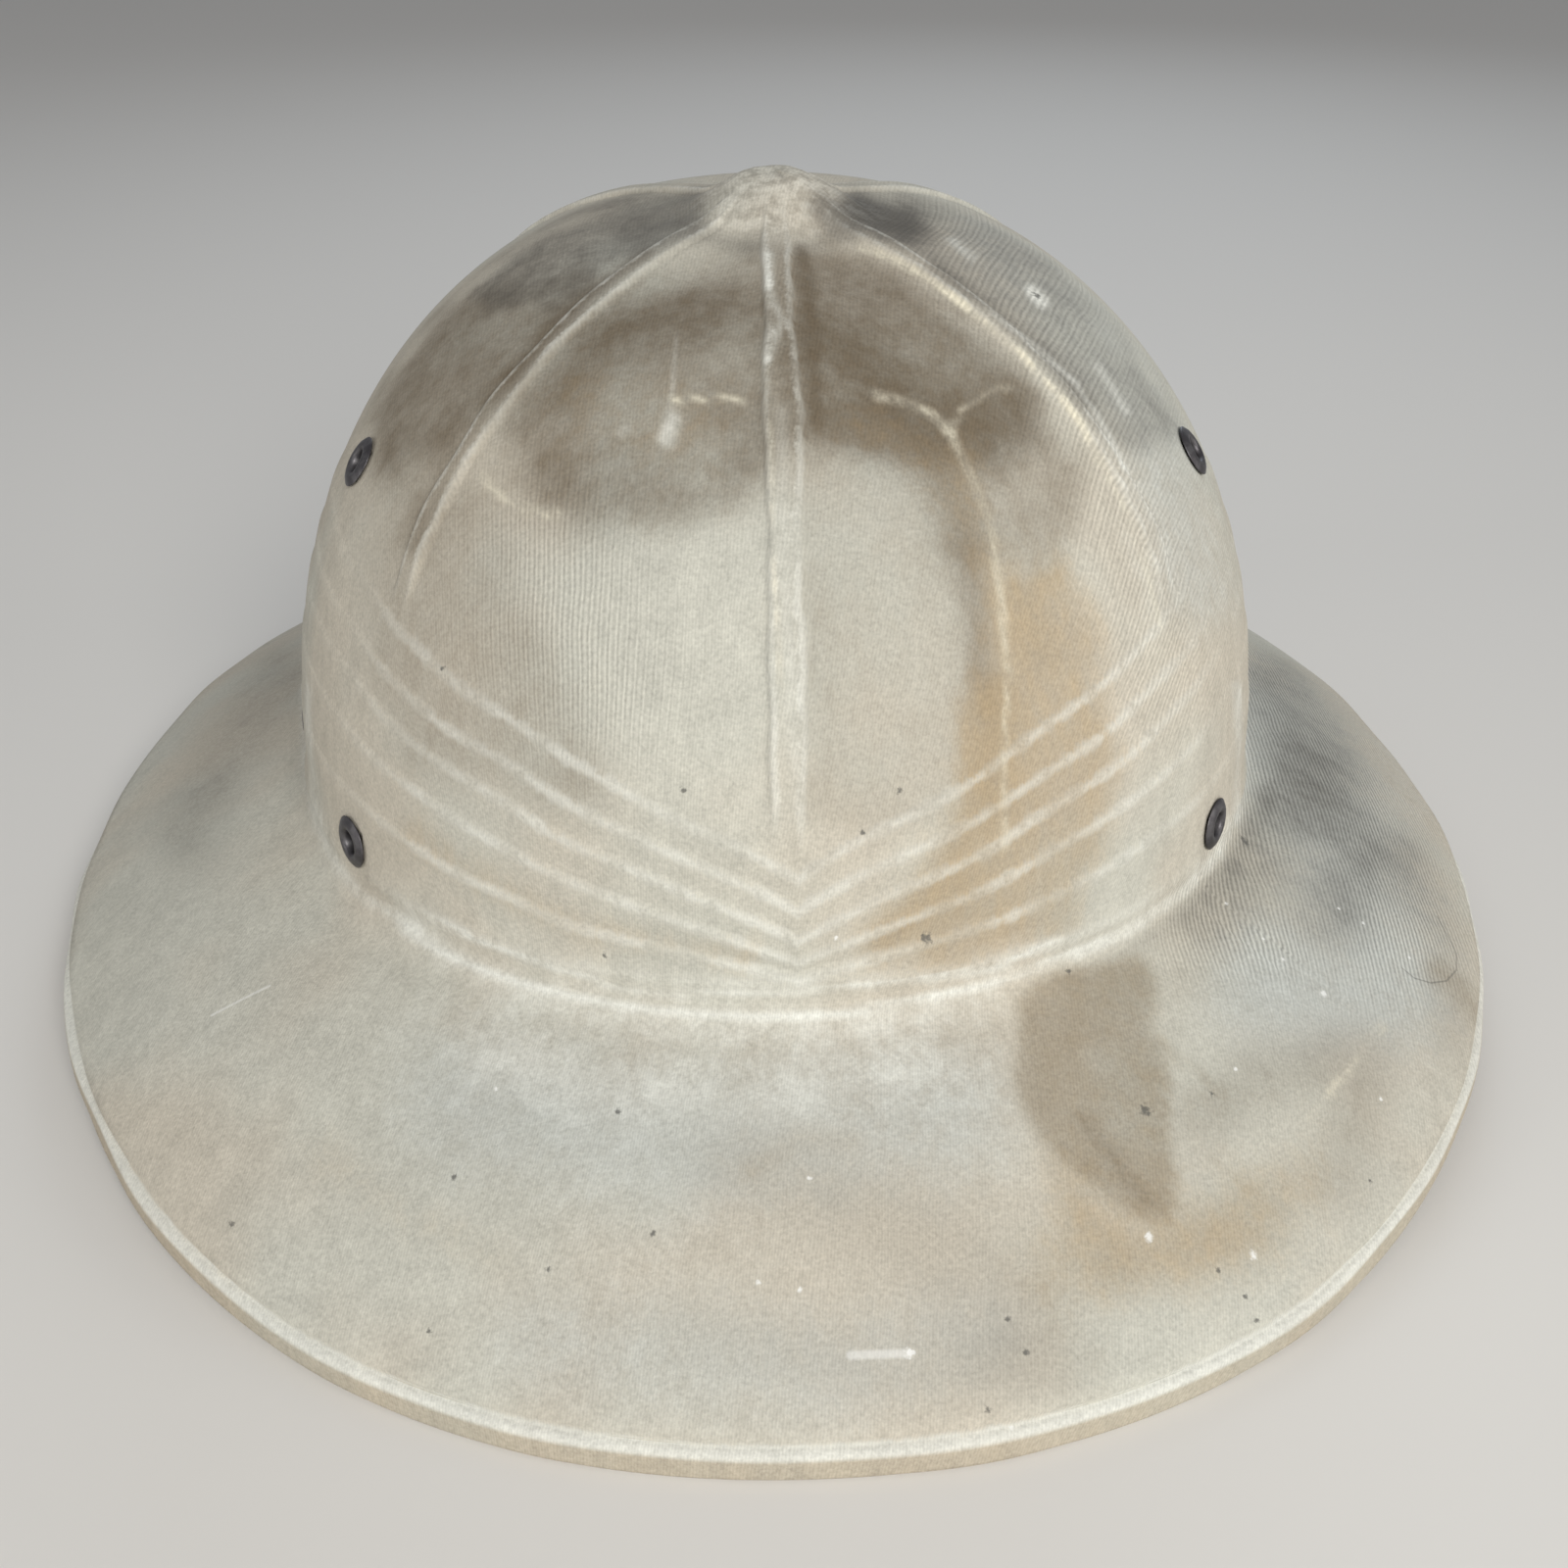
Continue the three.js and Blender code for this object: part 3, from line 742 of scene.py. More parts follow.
# How strongly a mark covers each point: full inside a filled path, fading over its reach outside
def markCover(pixels, mark):
    path = np.array(mark.path, float)
    ends = np.roll(path, -1, 0)
    if not mark.filled:
        path, ends = path[:-1], path[1:]
    nearest = np.full(pixels.shape[:-1], np.inf)
    inside = np.zeros(pixels.shape[:-1], bool)
    for start, end in zip(path, ends):
        way = end - start
        part = np.clip(((pixels - start) @ way) / (way @ way), 0, 1)[..., None]
        nearest = np.minimum(nearest, np.linalg.norm(pixels - start - part * way, axis=-1))
        if mark.filled and start[1] != end[1]:
            across = (pixels[..., 1] - start[1]) / (end[1] - start[1])
            crossing = (across >= 0) & (across < 1)
            inside ^= crossing & (pixels[..., 0] < start[0] + across * way[0])
    nearest = np.where(inside, 0, nearest)
    return mark.strength * np.exp(-((nearest / mark.reach) ** 2))


# The twill cover: rows from the top of the boss, over the lip, round the hem and back up inside
coverForm = {
    "columns": 480,
    "weltOffsets": [0, 0.7, 1.3, 1.7, 2.0, 2.3, 2.6, 2.9, 3.6],
    "bossRows": 12,
    "domeRows": 66,
    "foldAbove": 0.6,  # the dome's last row lies this far above the first fold
    "foldDrops": [0, 0.25, 0.5, 0.75, 1.0, 1.3],
    "foldParts": [0.12, 0.4, 0.7, 0.92],
    "filletRows": 8,
    "brimRows": 32,
    "lipTurns": 5,
    "lipSquash": 0.9,
    "lipEnd": [(0, 2.6), (0, 1.8), (0, 1.0), (0, 0.5), (0.15, 0.2), (0.5, 0)],  # inset, height
    "lipRidge": 2,  # the row of the lip that wears most
    "flatWidth": 0.38,  # the cloth as it was cut, before it was stretched over the form
    "flatLength": 0.44,
    "flatArea": 0.13,
}
innerForm = {  # the fewer rows of the hidden faces
    "domeParts": (0.001, 0.8, 12),  # first, last and how many
    "wallHeights": (22, 14, 8.5),
    "filletParts": (0.35, 0.7, 1),
    "brimParts": (0.25, 0.5, 0.75, 0.9),
}
twillTurn = {  # how far the cloth's threads lean, in radians
    "all": 0.2,
    "crown": 0.1,
    "foot": 5,  # the crown's own lean starts at this height and is full a little above
    "rise": 40,
}
wearForm = {
    "farAway": 30,  # millimetres, out of reach of any wear
    "bossReach": 17,
    "turnedAway": 0.15,  # marks fade where the cloth turns away from the camera
}


def coverOuterRows():
    form = coverForm
    rows = [bossRow(relief["bossRadius"] * row / form["bossRows"]) for row in range(form["bossRows"])]
    rows += [domeRow(row / form["domeRows"]) for row in range(form["domeRows"] + 1)]
    for index in range(len(relief["folds"])):
        rows += [foldRow(index, drop) for drop in form["foldDrops"]]
        rows += [foldRow(index, form["foldDrops"][-1], part) for part in form["foldParts"]]
    crownRows = len(rows)
    rows += [filletRow(row / form["filletRows"]) for row in range(form["filletRows"] + 1)]
    rows += [brimRow((row + 1) / form["brimRows"]) for row in range(form["brimRows"] - 1)]
    lipStart = len(rows)
    for turn in range(form["lipTurns"] + 1):
        angle = turn / form["lipTurns"] * math.pi / 2
        inset = helmet["lipRound"] * (1 - math.sin(angle))
        drop = helmet["lipRound"] * (1 - math.cos(angle)) * form["lipSquash"]
        rows.append(lipRow(inset, helmet["lipHeight"] - drop))
    rows += [lipRow(inset, height) for inset, height in form["lipEnd"]]
    return rows, crownRows, lipStart


def innerRows():
    rows = [angleRow(math.pi / 2 * part) for part in np.linspace(*innerForm["domeParts"])]
    rows += [wallRow(height) for height in innerForm["wallHeights"]]
    rows += [filletRow(part) for part in innerForm["filletParts"]]
    rows += [brimRow(part) for part in innerForm["brimParts"]]
    return rows


def lowered(grid, depth):
    onCrown = grid["height"] > 0
    dent = np.where(onCrown, dentDepth(grid["azimuth"], grid["height"]) + hollowDepth(grid), 0)
    return grid["points"] - grid["normals"] * (depth + dent)[..., None]


# The cover's outer face with its relief, and the measures that its wear is painted by
def coverFace(outer, onCrown, lipStart):
    azimuth, points, normals, height = (outer[key] for key in ("azimuth", "points", "normals", "height"))
    radius = outer["radius"]
    mask = eyeletMask(points)
    strength = weltStrength(outer)
    welt = weltDistance(azimuth, outer["radii"]) + relief["weltUneven"] * slowWaves(points, "welt")
    foldLevel = height + relief["foldUneven"] * slowWaves(points, "fold")
    weltRise = 1 - smooth((welt - relief["weltFlat"]) / (relief["weltFoot"] - relief["weltFlat"]))
    bossRise = 1 - smooth((radius - relief["bossFlat"]) / (relief["bossRadius"] - relief["bossFlat"]))
    lift = weltRise * relief["weltHeight"] * strength + relief["bossHeight"] * bossRise - hollowDepth(outer)
    lumpFade = np.exp(-((radius / relief["lumpRadius"]) ** 2))
    lift += relief["lumps"] * slowWaves(points, "boss") * lumpFade
    footFade = smooth((height - helmet["filletUp"]) / relief["foldFoot"])
    lift = np.where(onCrown, lift + foldRelief(azimuth, foldLevel) * footFade, 0)
    lift += relief["waves"] * slowWaves(points, "cloth")
    lift += relief["beadProud"] * np.exp(-(((height - helmet["filletUp"]) / relief["beadWidth"]) ** 2))
    lift *= mask
    lift[lipStart:] = 0
    dent = np.where(onCrown, dentDepth(azimuth, height), 0)
    face = points + normals * (lift - dent)[..., None]
    lipAcross = slowWaves(points, "lip")[lipStart:-2, :, None]
    face[lipStart:-2] += normals[lipStart:-2] * (1, 1, 0) * relief["lipWaves"] * lipAcross
    face[0] = crownApex(relief["bossHeight"])
    far = wearForm["farAway"]
    measures = {
        "welt": np.where(onCrown, welt, far),
        "weltWear": np.where(onCrown, strength * mask, 0),
        "fold": np.where(height > 0, foldDistance(azimuth, foldLevel), far),
        "foldWear": foldWear(azimuth),
        "bead": np.abs(height - helmet["filletUp"]),
        "boss": np.exp(-((radius / wearForm["bossReach"]) ** 4)),
    }
    return face, measures


# How far the cloth reaches from the top of the boss to each point of its face
def clothReach(face):
    steps = np.linalg.norm(np.diff(face, axis=0), axis=-1)
    return np.concatenate([np.zeros((1, steps.shape[1])), np.cumsum(steps, 0)])


# Where each point lies on the cloth before it was stretched: its threads run along one direction
def clothPlaces(outer, reach):
    rise = smooth((outer["height"] - twillTurn["foot"]) / twillTurn["rise"])
    lean = twillTurn["all"] + twillTurn["crown"] * np.sin(outer["azimuth"]) * rise
    turn = outer["azimuth"] + lean
    return np.stack([reach * np.sin(turn), -reach * np.cos(turn), reach * 0], -1)


# The marks of each layer on the cover's face
def paintMarks(face, normals, onCrown):
    pixels = toPixels(face)
    uneven = np.stack([slowWaves(face, name) for name in ("stainAndShadeAcross", "stainAndShadeDown")], -1) * stainAndShadeUneven
    seen = smooth(facesCamera(face, normals) / wearForm["turnedAway"])
    regions = {"crown": onCrown, "brim": ~onCrown, "all": 1}
    layers = {layer: np.zeros(seen.shape) for layer in markLayers}
    for mark in marks.values():
        cover = markCover(pixels + uneven * mark.filled, mark) * seen * regions[mark.on]
        layers[mark.layer] = 1 - (1 - layers[mark.layer]) * (1 - np.clip(cover, 0, 1))
    return layers


def makeCover(drills):
    columns = makeColumns(coverForm["columns"], coverForm["weltOffsets"])
    rows, crownRows, lipStart = coverOuterRows()
    outer = faceGrid(rows, columns)
    onCrown = np.zeros(outer["height"].shape, bool)
    onCrown[:crownRows] = True
    face, measures = coverFace(outer, onCrown, lipStart)
    reach = clothReach(face)
    measures["lip"] = reach[lipStart + coverForm["lipRidge"]] - reach
    measures["cloth"] = clothPlaces(outer, reach)
    measures.update(paintMarks(face, outer["normals"], onCrown))
    wall = helmet["clothWall"]
    inside = lowered(faceGrid(innerRows(), columns), wall)[::-1]
    inside[-1] = crownApex(-wall)
    turn = azimuthsAt(columns, outer["radii"][-1])
    inset = wall + helmet["gap"] + helmet["fibreWall"]
    hem = np.stack([
        rimPoint(turn, inset, 0),
        rimPoint(turn, inset, wall),
        rimPoint(turn, wall, wall),
        rimPoint(turn, wall, helmet["lipHeight"] - wall * helmet["lipDrop"]),
    ])
    attributes = {}
    for name, values in measures.items():
        blank = wearForm["farAway"] if name in ("welt", "fold", "bead", "lip") else 0
        rest = np.full((len(hem) + len(inside),) + values.shape[1:], float(blank))
        attributes[name] = np.concatenate([values, rest])
    cover = closeSkin("twill_cover", np.concatenate([face, hem, inside]), attributes)
    drillThrough(cover, drills)
    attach(cover, "root")
    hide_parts("cloth_cover")
    return cover


# The pressed fibre under the cloth, 2 mm thick
shellForm = {"columns": 240, "weltOffsets": [0, 3.6]}


def makeShell(drills):
    columns = makeColumns(shellForm["columns"], shellForm["weltOffsets"])
    face = faceGrid(innerRows(), columns)
    outerDepth = helmet["clothWall"] + helmet["gap"]
    innerDepth = outerDepth + helmet["fibreWall"]
    outer = lowered(face, outerDepth)
    inner = lowered(face, innerDepth)[::-1]
    outer[0] = crownApex(-outerDepth)
    inner[-1] = crownApex(-innerDepth)
    turn = azimuthsAt(columns, face["radii"][-1])
    edge = np.stack([
        rimPoint(turn, outerDepth, helmet["lipHeight"] - outerDepth * helmet["lipDrop"]),
        rimPoint(turn, outerDepth, outerDepth),
        rimPoint(turn, innerDepth, outerDepth),
        rimPoint(turn, innerDepth, helmet["lipHeight"] - innerDepth * helmet["lipDrop"]),
    ])
    shell = closeSkin("fibre_board", np.concatenate([outer, edge, inner]), {})
    drillThrough(shell, drills)
    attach(shell, "root")
    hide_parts("fibre_shell")
    return shell


# A domed eyelet, spun from its section
def makeEyelet(name, side):
    hole, barrel, radius, roll, dome, inside = (
        eyeletForm[key] for key in ("hole", "barrel", "radius", "roll", "dome", "inside")
    )
    gap = helmet["gap"]
    seat = -(helmet["clothWall"] + 2 * gap + helmet["fibreWall"] + inside)
    section = [
        (hole, dome * 0.35),
        (hole + 0.15, dome * 0.75),
        (barrel - 0.25, dome * 0.97),
        (barrel + 0.3, dome),
        (radius * 0.72, dome * 0.95),
        (radius * 0.85, dome * 0.78),
        (radius * 0.95, dome * 0.5),
        (radius, gap + 0.12),
        (radius - 0.1, gap),
        (barrel, gap),
        (barrel, seat),
        (roll, seat),
        (roll + 0.05, seat - 0.3),
        (roll - 0.5, seat - 0.75),
        (barrel, seat - 0.9),
        (hole, seat - 0.5),
    ]
    ring = bmesh.new()
    line = [ring.verts.new((reach * mm, 0, rise * mm)) for reach, rise in section]
    edges = [ring.edges.new((line[place - 1], line[place])) for place in range(len(line))]
    bmesh.ops.spin(
        ring, geom=line + edges, cent=(0, 0, 0), axis=(0, 0, 1), dvec=(0, 0, 0),
        angle=2 * math.pi, steps=eyeletForm["turns"], use_merge=True,
    )
    bmesh.ops.remove_doubles(ring, verts=ring.verts, dist=0.000001)
    bmesh.ops.recalc_face_normals(ring, faces=ring.faces)
    bmesh.ops.transform(ring, matrix=seatMatrix(name, side), verts=ring.verts)
    sideName = "right" if side > 0 else "left"
    mesh = meshFrom(ring, f"ring_{sideName}_{name}")
    mesh.shade_smooth()
    piece = placed(mesh)
    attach(piece, "root")
    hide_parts(f"eyelet_{sideName}_{name}")
    return piece


# A shader socket: sums and products of sockets add their Math nodes
class Socket:
    def __init__(self, finish, link):
        self.finish = finish
        self.link = link

    def maths(self, operation, first, second):
        return self.finish.node("ShaderNodeMath", {"operation": operation}, {0: first, 1: second})

    def __add__(self, other):
        return self.maths("ADD", self, other)

    def __sub__(self, other):
        return self.maths("SUBTRACT", self, other)

    def __mul__(self, other):
        return self.maths("MULTIPLY", self, other)

    # A noise's swing about its middle
    def swing(self, share):
        return (self - 0.5) * share


# One material under construction
class Finish:
    def __init__(self, name):
        self.material = bpy.data.materials.new(name)
        self.material.use_nodes = True
        self.tree = self.material.node_tree
        self.tree.nodes.clear()

    def node(self, kind, settings=None, inputs=None, output=0):
        node = self.tree.nodes.new(kind)
        for key, value in (settings or {}).items():
            setattr(node, key, value)
        for key, value in (inputs or {}).items():
            if isinstance(value, Socket):
                self.tree.links.new(value.link, node.inputs[key])
            else:
                node.inputs[key].default_value = value
        return Socket(self, node.outputs[output])

    def vector(self, operation, inputs, output=0):
        return self.node("ShaderNodeVectorMath", {"operation": operation}, inputs, output)

    # Where a point lies on the piece, in millimetres
    def place(self):
        where = self.node("ShaderNodeTexCoord", output="Object")
        return self.vector("SCALE", {0: where, "Scale": 1 / mm})

    def attribute(self, name, output="Fac"):
        return self.node("ShaderNodeAttribute", {"attribute_name": name}, output=output)

    # Noise of a size in millimetres, from 0 to 1
    def noise(self, where, size, detail, roughness=0.5, distortion=0):
        values = {
            "Vector": where, "Scale": 1 / size, "Detail": detail,
            "Roughness": roughness, "Distortion": distortion,
        }
        return self.node("ShaderNodeTexNoise", {}, values)

    # 0 at low, 1 at high, with soft ends; low may be above high
    def ramp(self, value, low, high):
        values = {"Value": value, "From Min": low, "From Max": high}
        return self.node("ShaderNodeMapRange", {"interpolation_type": "SMOOTHSTEP"}, values)

    def clamp(self, value):
        return self.node("ShaderNodeClamp", {}, {0: value})

    def blend(self, part, first, second):
        settings = {"data_type": "RGBA", "blend_type": "MIX"}
        return self.node("ShaderNodeMix", settings, {0: part, 6: first, 7: second}, output=2)

    def bump(self, height, distance, strength):
        return self.node("ShaderNodeBump", {}, {"Height": height, "Distance": distance, "Strength": strength})

    def finish(self, inputs):
        shader = self.node("ShaderNodeBsdfPrincipled", {}, inputs)
        end = self.tree.nodes.new("ShaderNodeOutputMaterial")
        self.tree.links.new(shader.link, end.inputs["Surface"])
        return self.material


print("material tools ready")

# Worn khaki twill: colours are linear, sizes and bumps in millimetres
twill = {
    "cool": (0.46, 0.452, 0.395, 1),
    "warm": (0.465, 0.427, 0.357, 1),
    "warmth": (0.36, 0.66),  # of the clouds, from cool to warm
    "pale": (0.63, 0.63, 0.58, 1),
    "cream": (0.6, 0.56, 0.45, 1),
    # grime colour: grime, and painted shade beside the welts, on the boss's right flank and at the left foot
    # of the wall
    "grime": (0.125, 0.098, 0.066, 1),
    "brown": (0.21, 0.165, 0.105, 1),
    # soot colour: painted shade on the crown's top, round the boss and on the brim behind the crown, and the
    # boss's soot blotches
    "soot": (0.1, 0.092, 0.08, 1),
    "tan": (0.33, 0.255, 0.16, 1),
    # ash colour: a cool grey, and painted cool light on the far right
    "ash": (0.425, 0.437, 0.41, 1),
    "speck": (0.8, 0.8, 0.78, 1),
    "spot": (0.08, 0.08, 0.075, 1),
    "clouds": {"size": 42, "detail": 2},
    "mottle": {"size": 9, "detail": 3, "roughness": 0.6},
    "rough": {"size": 2.6, "detail": 3, "roughness": 0.65},
    "grain": {"size": 0.6, "detail": 2, "roughness": 0.6},
    "upright": (1, 1, 0.45),  # the wear is drawn out up the crown
    "tone": 1.03,
    "toneSwings": {"grain": 0.6, "rough": 0.36, "mottle": 0.26},
    # The stain settings below shape the painted shade marks too
    "stainAndShadeSwing": 0.4,
    "stainAndShadeEdge": (0.12, 1.0),
    "stainsAndShade": {"ash": 1, "grime": 1, "soot": 1, "tan": 0.9, "brown": 0.85},  # the strongest each gets
    "lineEdge": (0.1, 0.9),
    "roughness": 0.82,
    "roughGrain": 0.15,
    "shine": 0.2,
    "bump": 0.6,
    "bumpStrength": 0.25,
    "bumpMottle": 0.5,
}
weaveForm = {
    "sway": {"clouds": 6, "rough": 0.5},  # millimetres that the threads bend
    "ribs": {"pitch": 1.05, "least": 0.4, "strength": 0.34},
    "threads": {"pitch": 0.68, "least": 0.3, "strength": 0.055},
}

# Worn edges by their distance in millimetres: wear comes in between the distances of a pair
edgeWear = {
    "fold": {"on": "foldWear", "jitter": 0.7, "outside": (1.4, 0.2), "strength": 0.5},
    "bead": {"on": "foldWear", "jitter": 1, "outside": (2.2, 0.4), "strength": 0.3},
    "welt": {
        "on": "weltWear", "jitter": 0.4, "inside": (0.8, 1.7), "outside": (2.8, 1.9), "strength": 0.35,
    },
}
lipWear = {
    "jitter": 0.5, "inside": (2.0, 0.6), "outside": (-1.6, -0.6), "strength": 0.75,
    "face": (-0.7, -1.7), "faceTan": 0.2, "faceMottle": 0.35,
}
bossWear = {"pale": (0.42, 0.6), "paleStrength": 0.15, "soot": (0.62, 0.34), "sootStrength": 0.3}
wearJitter = {"rough": 4, "grain": 1.5}
wearPatches = {"mottle": 0.6, "rough": 0.4, "edge": (0.4, 0.58), "least": 0.25}

# Specks on the cloth: the photograph's pixels that they fall on, and their reach in millimetres
specks = {
    "whiteSmall": {
        "tint": "speck", "reach": 0.5,
        "pixels": [
            (1309, 979), (1366, 927), (1391, 942), (1289, 958), (1251, 922), (1261, 1091), (1409, 1121),
            (1438, 977), (506, 1111), (816, 1316), (774, 1309), (826, 1202), (1032, 1457), (853, 957),
        ],
    },
    "whiteLarge": {
        "tint": "speck", "reach": 0.95,
        "pixels": [(929, 1381), (1172, 1262), (1279, 1281), (1350, 1014)],
    },
    "darkSmall": {
        "tint": "spot", "reach": 0.6,
        "pixels": [
            (1237, 1116), (1090, 991), (1398, 1205), (1243, 1296), (1271, 1323), (1282, 1347),
            (1047, 1381), (1028, 1346), (438, 1358), (463, 1201), (237, 1249), (559, 1295),
            (666, 1259), (631, 1134), (918, 807), (880, 850), (617, 975), (1008, 1439), (697, 807),
            (452, 682),
        ],
    },
    "darkLarge": {
        "tint": "spot", "reach": 1.2,
        "pixels": [(1270, 858), (945, 957), (1169, 1133), (1058, 302)],
    },
}
speckForm = {"core": 0.2, "uneven": 2, "strength": 0.75}
scratches = {
    "hair": {
        "tint": "spot", "reach": 0.26, "strength": 0.42,
        "pixels": [
            (1431, 988), (1443, 998), (1460, 1003), (1476, 1001), (1486, 990), (1486, 972), (1466, 935),
        ],
    },
    "streak": {"tint": "speck", "reach": 0.9, "strength": 0.4, "pixels": [(868, 1383), (925, 1381)]},
    "scratch": {"tint": "speck", "reach": 0.4, "strength": 0.4, "pixels": [(216, 1036), (275, 1006)]},
}
scratchCore = 0.3


def nearest(reaches):
    least = reaches[0]
    for reach in reaches[1:]:
        least = reach.maths("MINIMUM", least, reach)
    return least


# Distance in millimetres to the nearest of a few points of a piece
def nearPoints(finish, place, points):
    return nearest([finish.vector("DISTANCE", {0: place, 1: point}, "Value") for point in points])


# Distance in millimetres to a bent line on a piece
def nearLine(finish, place, points):
    reaches = []
    for start, end in zip(points, points[1:]):
        way = end - start
        away = finish.vector("SUBTRACT", {0: place, 1: start})
        part = finish.vector("DOT_PRODUCT", {0: away, 1: way / way.length_squared}, "Value")
        step = finish.vector("SCALE", {0: way, "Scale": finish.clamp(part)})
        reaches.append(finish.vector("DISTANCE", {0: away, 1: step}, "Value"))
    return nearest(reaches)


# How dark the weave is: ribs where the marks show them, and single threads all over
def weaveShade(finish, clouds, rough):
    cloth = finish.attribute("cloth", "Vector")
    across = finish.node("ShaderNodeSeparateXYZ", {}, {0: cloth}, "X")
    across = across + clouds * weaveForm["sway"]["clouds"] + rough * weaveForm["sway"]["rough"]
    shades = []
    for form in (weaveForm["ribs"], weaveForm["threads"]):
        turns = across * (2 * math.pi / form["pitch"])
        stripes = finish.node("ShaderNodeMath", {"operation": "SINE"}, {0: turns})
        shades.append(stripes * (rough + form["least"]) * form["strength"])
    ribs, threads = shades
    return finish.attribute("weave") * ribs + threads


# How worn the cloth is along its edges, on the boss and where the marks say so
def wornCloth(finish, rough, jitter, patchy, marked):
    worn = marked
    for name, wear in edgeWear.items():
        distance = finish.attribute(name) + jitter * wear["jitter"]
        edge = finish.ramp(distance, *wear["outside"]) * finish.attribute(wear["on"]) * patchy
        if "inside" in wear:
            edge = edge * finish.ramp(distance, *wear["inside"])
        worn = worn + edge * wear["strength"]
    lip = finish.attribute("lip")
    inside = finish.ramp(lip + jitter * lipWear["jitter"], *lipWear["inside"])
    worn = worn + inside * finish.ramp(lip, *lipWear["outside"]) * lipWear["strength"]
    boss = finish.attribute("boss") * finish.ramp(rough, *bossWear["pale"])
    return finish.clamp(worn + boss * bossWear["paleStrength"])


# Specks and scratches over the cloth's colour
def addSpecks(finish, place, piece, grain, colour):
    for speck in specks.values():
        reach = speck["reach"]
        points = [surfaceAt(piece, pixel) / mm for pixel in speck["pixels"]]
        near = nearPoints(finish, place, points) + grain.swing(reach * speckForm["uneven"])
        part = finish.ramp(near, reach, reach * speckForm["core"]) * speckForm["strength"]
        colour = finish.blend(part, colour, twill[speck["tint"]])
    for scratch in scratches.values():
        reach = scratch["reach"]
        points = [surfaceAt(piece, pixel) / mm for pixel in scratch["pixels"]]
        part = finish.ramp(nearLine(finish, place, points), reach, reach * scratchCore)
        colour = finish.blend(part * scratch["strength"], colour, twill[scratch["tint"]])
    return colour


def makeTwill(piece):
    finish = Finish("worn_khaki_twill")
    place = finish.place()
    drawn = finish.vector("MULTIPLY", {0: place, 1: twill["upright"]})
    clouds = finish.noise(place, **twill["clouds"])
    mottle = finish.noise(drawn, **twill["mottle"])
    rough = finish.noise(drawn, **twill["rough"])
    grain = finish.noise(place, **twill["grain"])
    tone = grain.swing(twill["toneSwings"]["grain"]) + rough.swing(twill["toneSwings"]["rough"])
    tone = tone + mottle.swing(twill["toneSwings"]["mottle"]) + twill["tone"]
    tone = tone - weaveShade(finish, clouds, rough)
    broken = mottle.swing(twill["stainAndShadeSwing"]) + rough.swing(twill["stainAndShadeSwing"])

    def marked(layer, edge=twill["stainAndShadeEdge"]):
        return finish.ramp(finish.attribute(layer) + broken, *edge)

    colour = finish.blend(finish.ramp(clouds, *twill["warmth"]), twill["cool"], twill["warm"])
    for layer, share in twill["stainsAndShade"].items():
        colour = finish.blend(marked(layer) * share, colour, twill[layer])
    jitter = rough.swing(wearJitter["rough"]) + grain.swing(wearJitter["grain"])
    patchy = finish.ramp(mottle * wearPatches["mottle"] + rough * wearPatches["rough"], *wearPatches["edge"])
    patchy = patchy * (1 - wearPatches["least"]) + wearPatches["least"]
    bossSoot = finish.attribute("boss") * finish.ramp(rough, *bossWear["soot"]) * bossWear["sootStrength"]
    colour = finish.blend(bossSoot, colour, twill["soot"])
    lipFace = finish.ramp(finish.attribute("lip"), *lipWear["face"])
    lipTan = mottle * lipWear["faceMottle"] + lipWear["faceTan"]
    colour = finish.blend(lipFace * lipTan, colour, twill["tan"])
    worn = wornCloth(finish, rough, jitter, patchy, marked("pale"))
    colour = finish.blend(worn, colour, twill["pale"])
    colour = finish.blend(marked("line", twill["lineEdge"]) * patchy, colour, twill["cream"])
    colour = finish.vector("SCALE", {0: colour, "Scale": tone})
    return finish.finish({
        "Base Color": addSpecks(finish, place, piece, grain, colour),
        "Roughness": grain * twill["roughGrain"] + twill["roughness"],
        "Normal": finish.bump(tone + mottle * twill["bumpMottle"], twill["bump"] * mm, twill["bumpStrength"]),
        "Specular IOR Level": twill["shine"],
    })


# Bare pressed fibre inside
fibre = {
    "dark": (0.30, 0.21, 0.12, 1),
    "light": (0.42, 0.31, 0.19, 1),
    "strand": (0.55, 0.44, 0.29, 1),
    "clouds": {"size": 35, "detail": 3},
    "strands": {"size": 2.5, "detail": 5, "roughness": 0.7, "distortion": 1.5},
    "strandEdge": (0.4, 0.75),
    "strandStrength": 0.35,
    "roughness": 0.7,
    "roughStrands": 0.2,
    "bump": 0.3,
    "bumpStrength": 0.6,
}


def makeFibre():
    finish = Finish("pressed_fibre")
    place = finish.place()
    strands = finish.noise(place, **fibre["strands"])
    clouds = finish.noise(place, **fibre["clouds"])
    colour = finish.blend(clouds, fibre["dark"], fibre["light"])
    part = finish.ramp(strands, *fibre["strandEdge"]) * fibre["strandStrength"]
    return finish.finish({
        "Base Color": finish.blend(part, colour, fibre["strand"]),
        "Roughness": strands * fibre["roughStrands"] + fibre["roughness"],
        "Normal": finish.bump(strands, fibre["bump"] * mm, fibre["bumpStrength"]),
    })


# Dark oxidised metal of the eyelets
metal = {
    "dark": (0.075, 0.07, 0.075, 1),
    "light": (0.13, 0.125, 0.13, 1),
    "spots": {"size": 2.2, "detail": 3, "roughness": 0.6},
    "spotEdge": (0.4, 0.65),
    "metallic": 0.8,
    "roughness": 0.36,
    "roughSpots": 0.2,
    "bump": 0.1,
    "bumpStrength": 0.2,
}


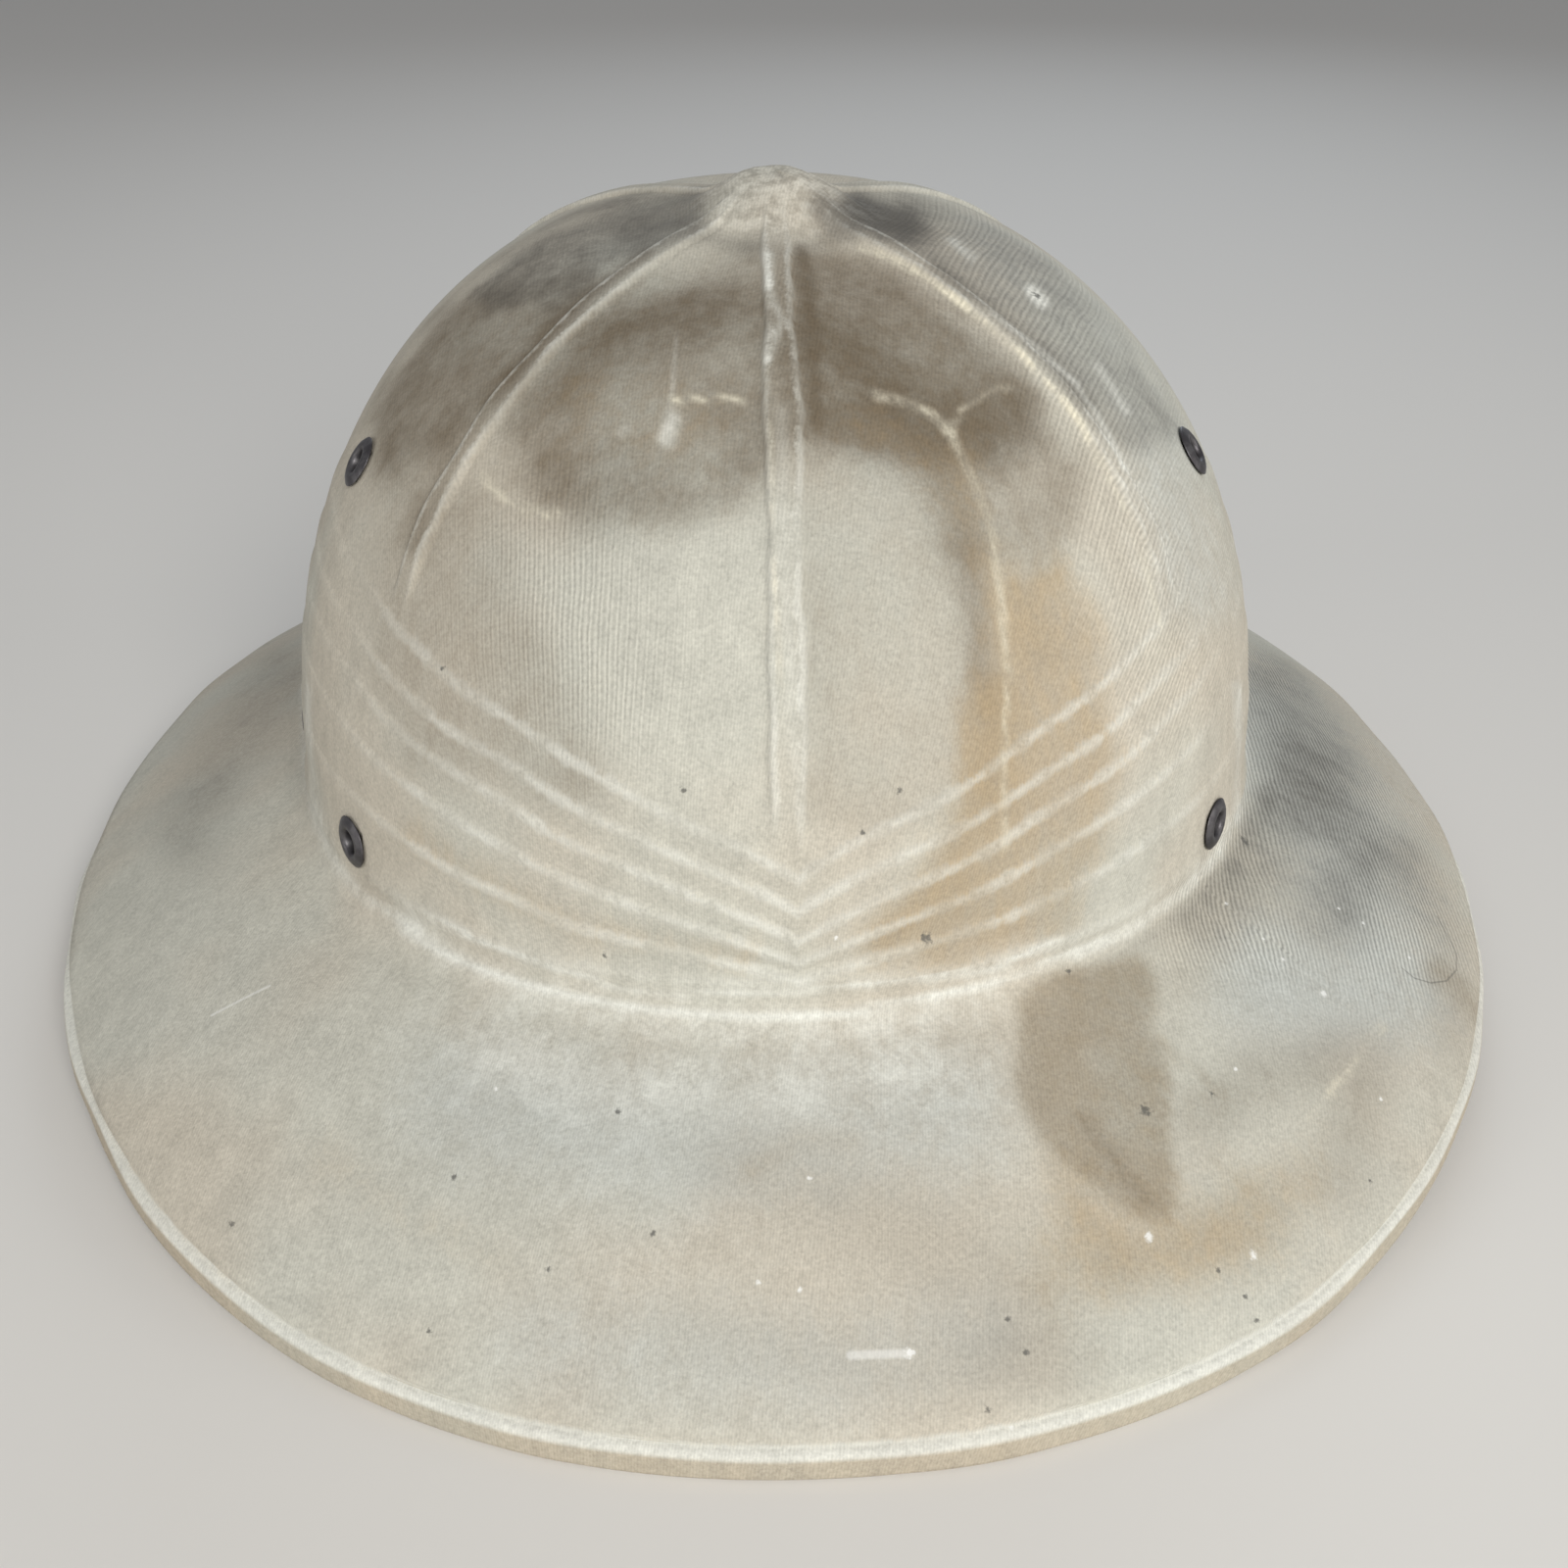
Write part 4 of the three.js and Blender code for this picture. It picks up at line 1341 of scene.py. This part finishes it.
def makeGunmetal():
    finish = Finish("oxidised_gunmetal")
    spots = finish.noise(finish.place(), **metal["spots"])
    return finish.finish({
        "Base Color": finish.blend(finish.ramp(spots, *metal["spotEdge"]), metal["dark"], metal["light"]),
        "Metallic": metal["metallic"],
        "Roughness": spots * metal["roughSpots"] + metal["roughness"],
        "Normal": finish.bump(spots, metal["bump"] * mm, metal["bumpStrength"]),
    })


# Pale floor and soft studio light
stage = {
    "floorSide": 6,
    "floorColour": (0.72, 0.70, 0.67, 1),
    "floorRoughness": 0.8,
    "world": (0.95, 0.97, 1.0, 1),
    "worldStrength": 0.3,
    "aim": (0, 0, 0.06),
    "spread": 90,  # keeps the lamps' light off the floor beneath them
    "lights": {
        "key": {"place": (0.3, -1.3, 0.78), "size": 0.7, "power": 4.8, "colour": (1, 0.985, 0.95)},
        "right": {"place": (1.3, -0.45, 0.3), "size": 0.8, "power": 1.05, "colour": (1, 0.975, 0.93)},
        "left": {"place": (-1.3, -0.7, 0.35), "size": 0.8, "power": 1.15, "colour": (1, 0.985, 0.95)},
        "window": {"place": (0.35, 1.35, 0.85), "size": 0.9, "power": 1.25, "colour": (0.8, 0.9, 1)},
    },
}


def makeStage():
    ground = bmesh.new()
    bmesh.ops.create_grid(ground, x_segments=1, y_segments=1, size=stage["floorSide"] / 2)
    floor = placed(meshFrom(ground, "floor"))
    paint = {"Base Color": stage["floorColour"], "Roughness": stage["floorRoughness"]}
    floor.data.materials.append(Finish("pale_floor").finish(paint))
    world = bpy.data.worlds.new("studio")
    world.use_nodes = True
    back = world.node_tree.nodes["Background"]
    back.inputs["Color"].default_value = stage["world"]
    back.inputs["Strength"].default_value = stage["worldStrength"]
    bpy.context.scene.world = world
    for name, light in stage["lights"].items():
        data = bpy.data.lights.new(name, "AREA")
        data.shape = "DISK"
        data.size = light["size"]
        data.energy = light["power"]
        data.color = light["colour"]
        data.spread = math.radians(stage["spread"])
        lamp = bpy.data.objects.new(name, data)
        lamp.location = light["place"]
        toward = Vector(stage["aim"]) - lamp.location
        lamp.rotation_euler = toward.to_track_quat("-Z", "Y").to_euler()
        bpy.context.scene.collection.objects.link(lamp)


drills = makeDrills()
cover = makeCover(drills)
cover.data.materials.clear()
cover.data.materials.append(makeTwill(cover))
print("cover made:", len(cover.data.polygons), "faces")
shell = makeShell(drills)
shell.data.materials.clear()
shell.data.materials.append(makeFibre())
print("shell made:", len(shell.data.polygons), "faces")
bpy.data.objects.remove(drills)
gunmetal = makeGunmetal()
for name, side in eyeletSeats:
    makeEyelet(name, side).data.materials.append(gunmetal)
print("eyelets made")
makeStage()
bpy.context.scene.view_settings.view_transform = "Standard"
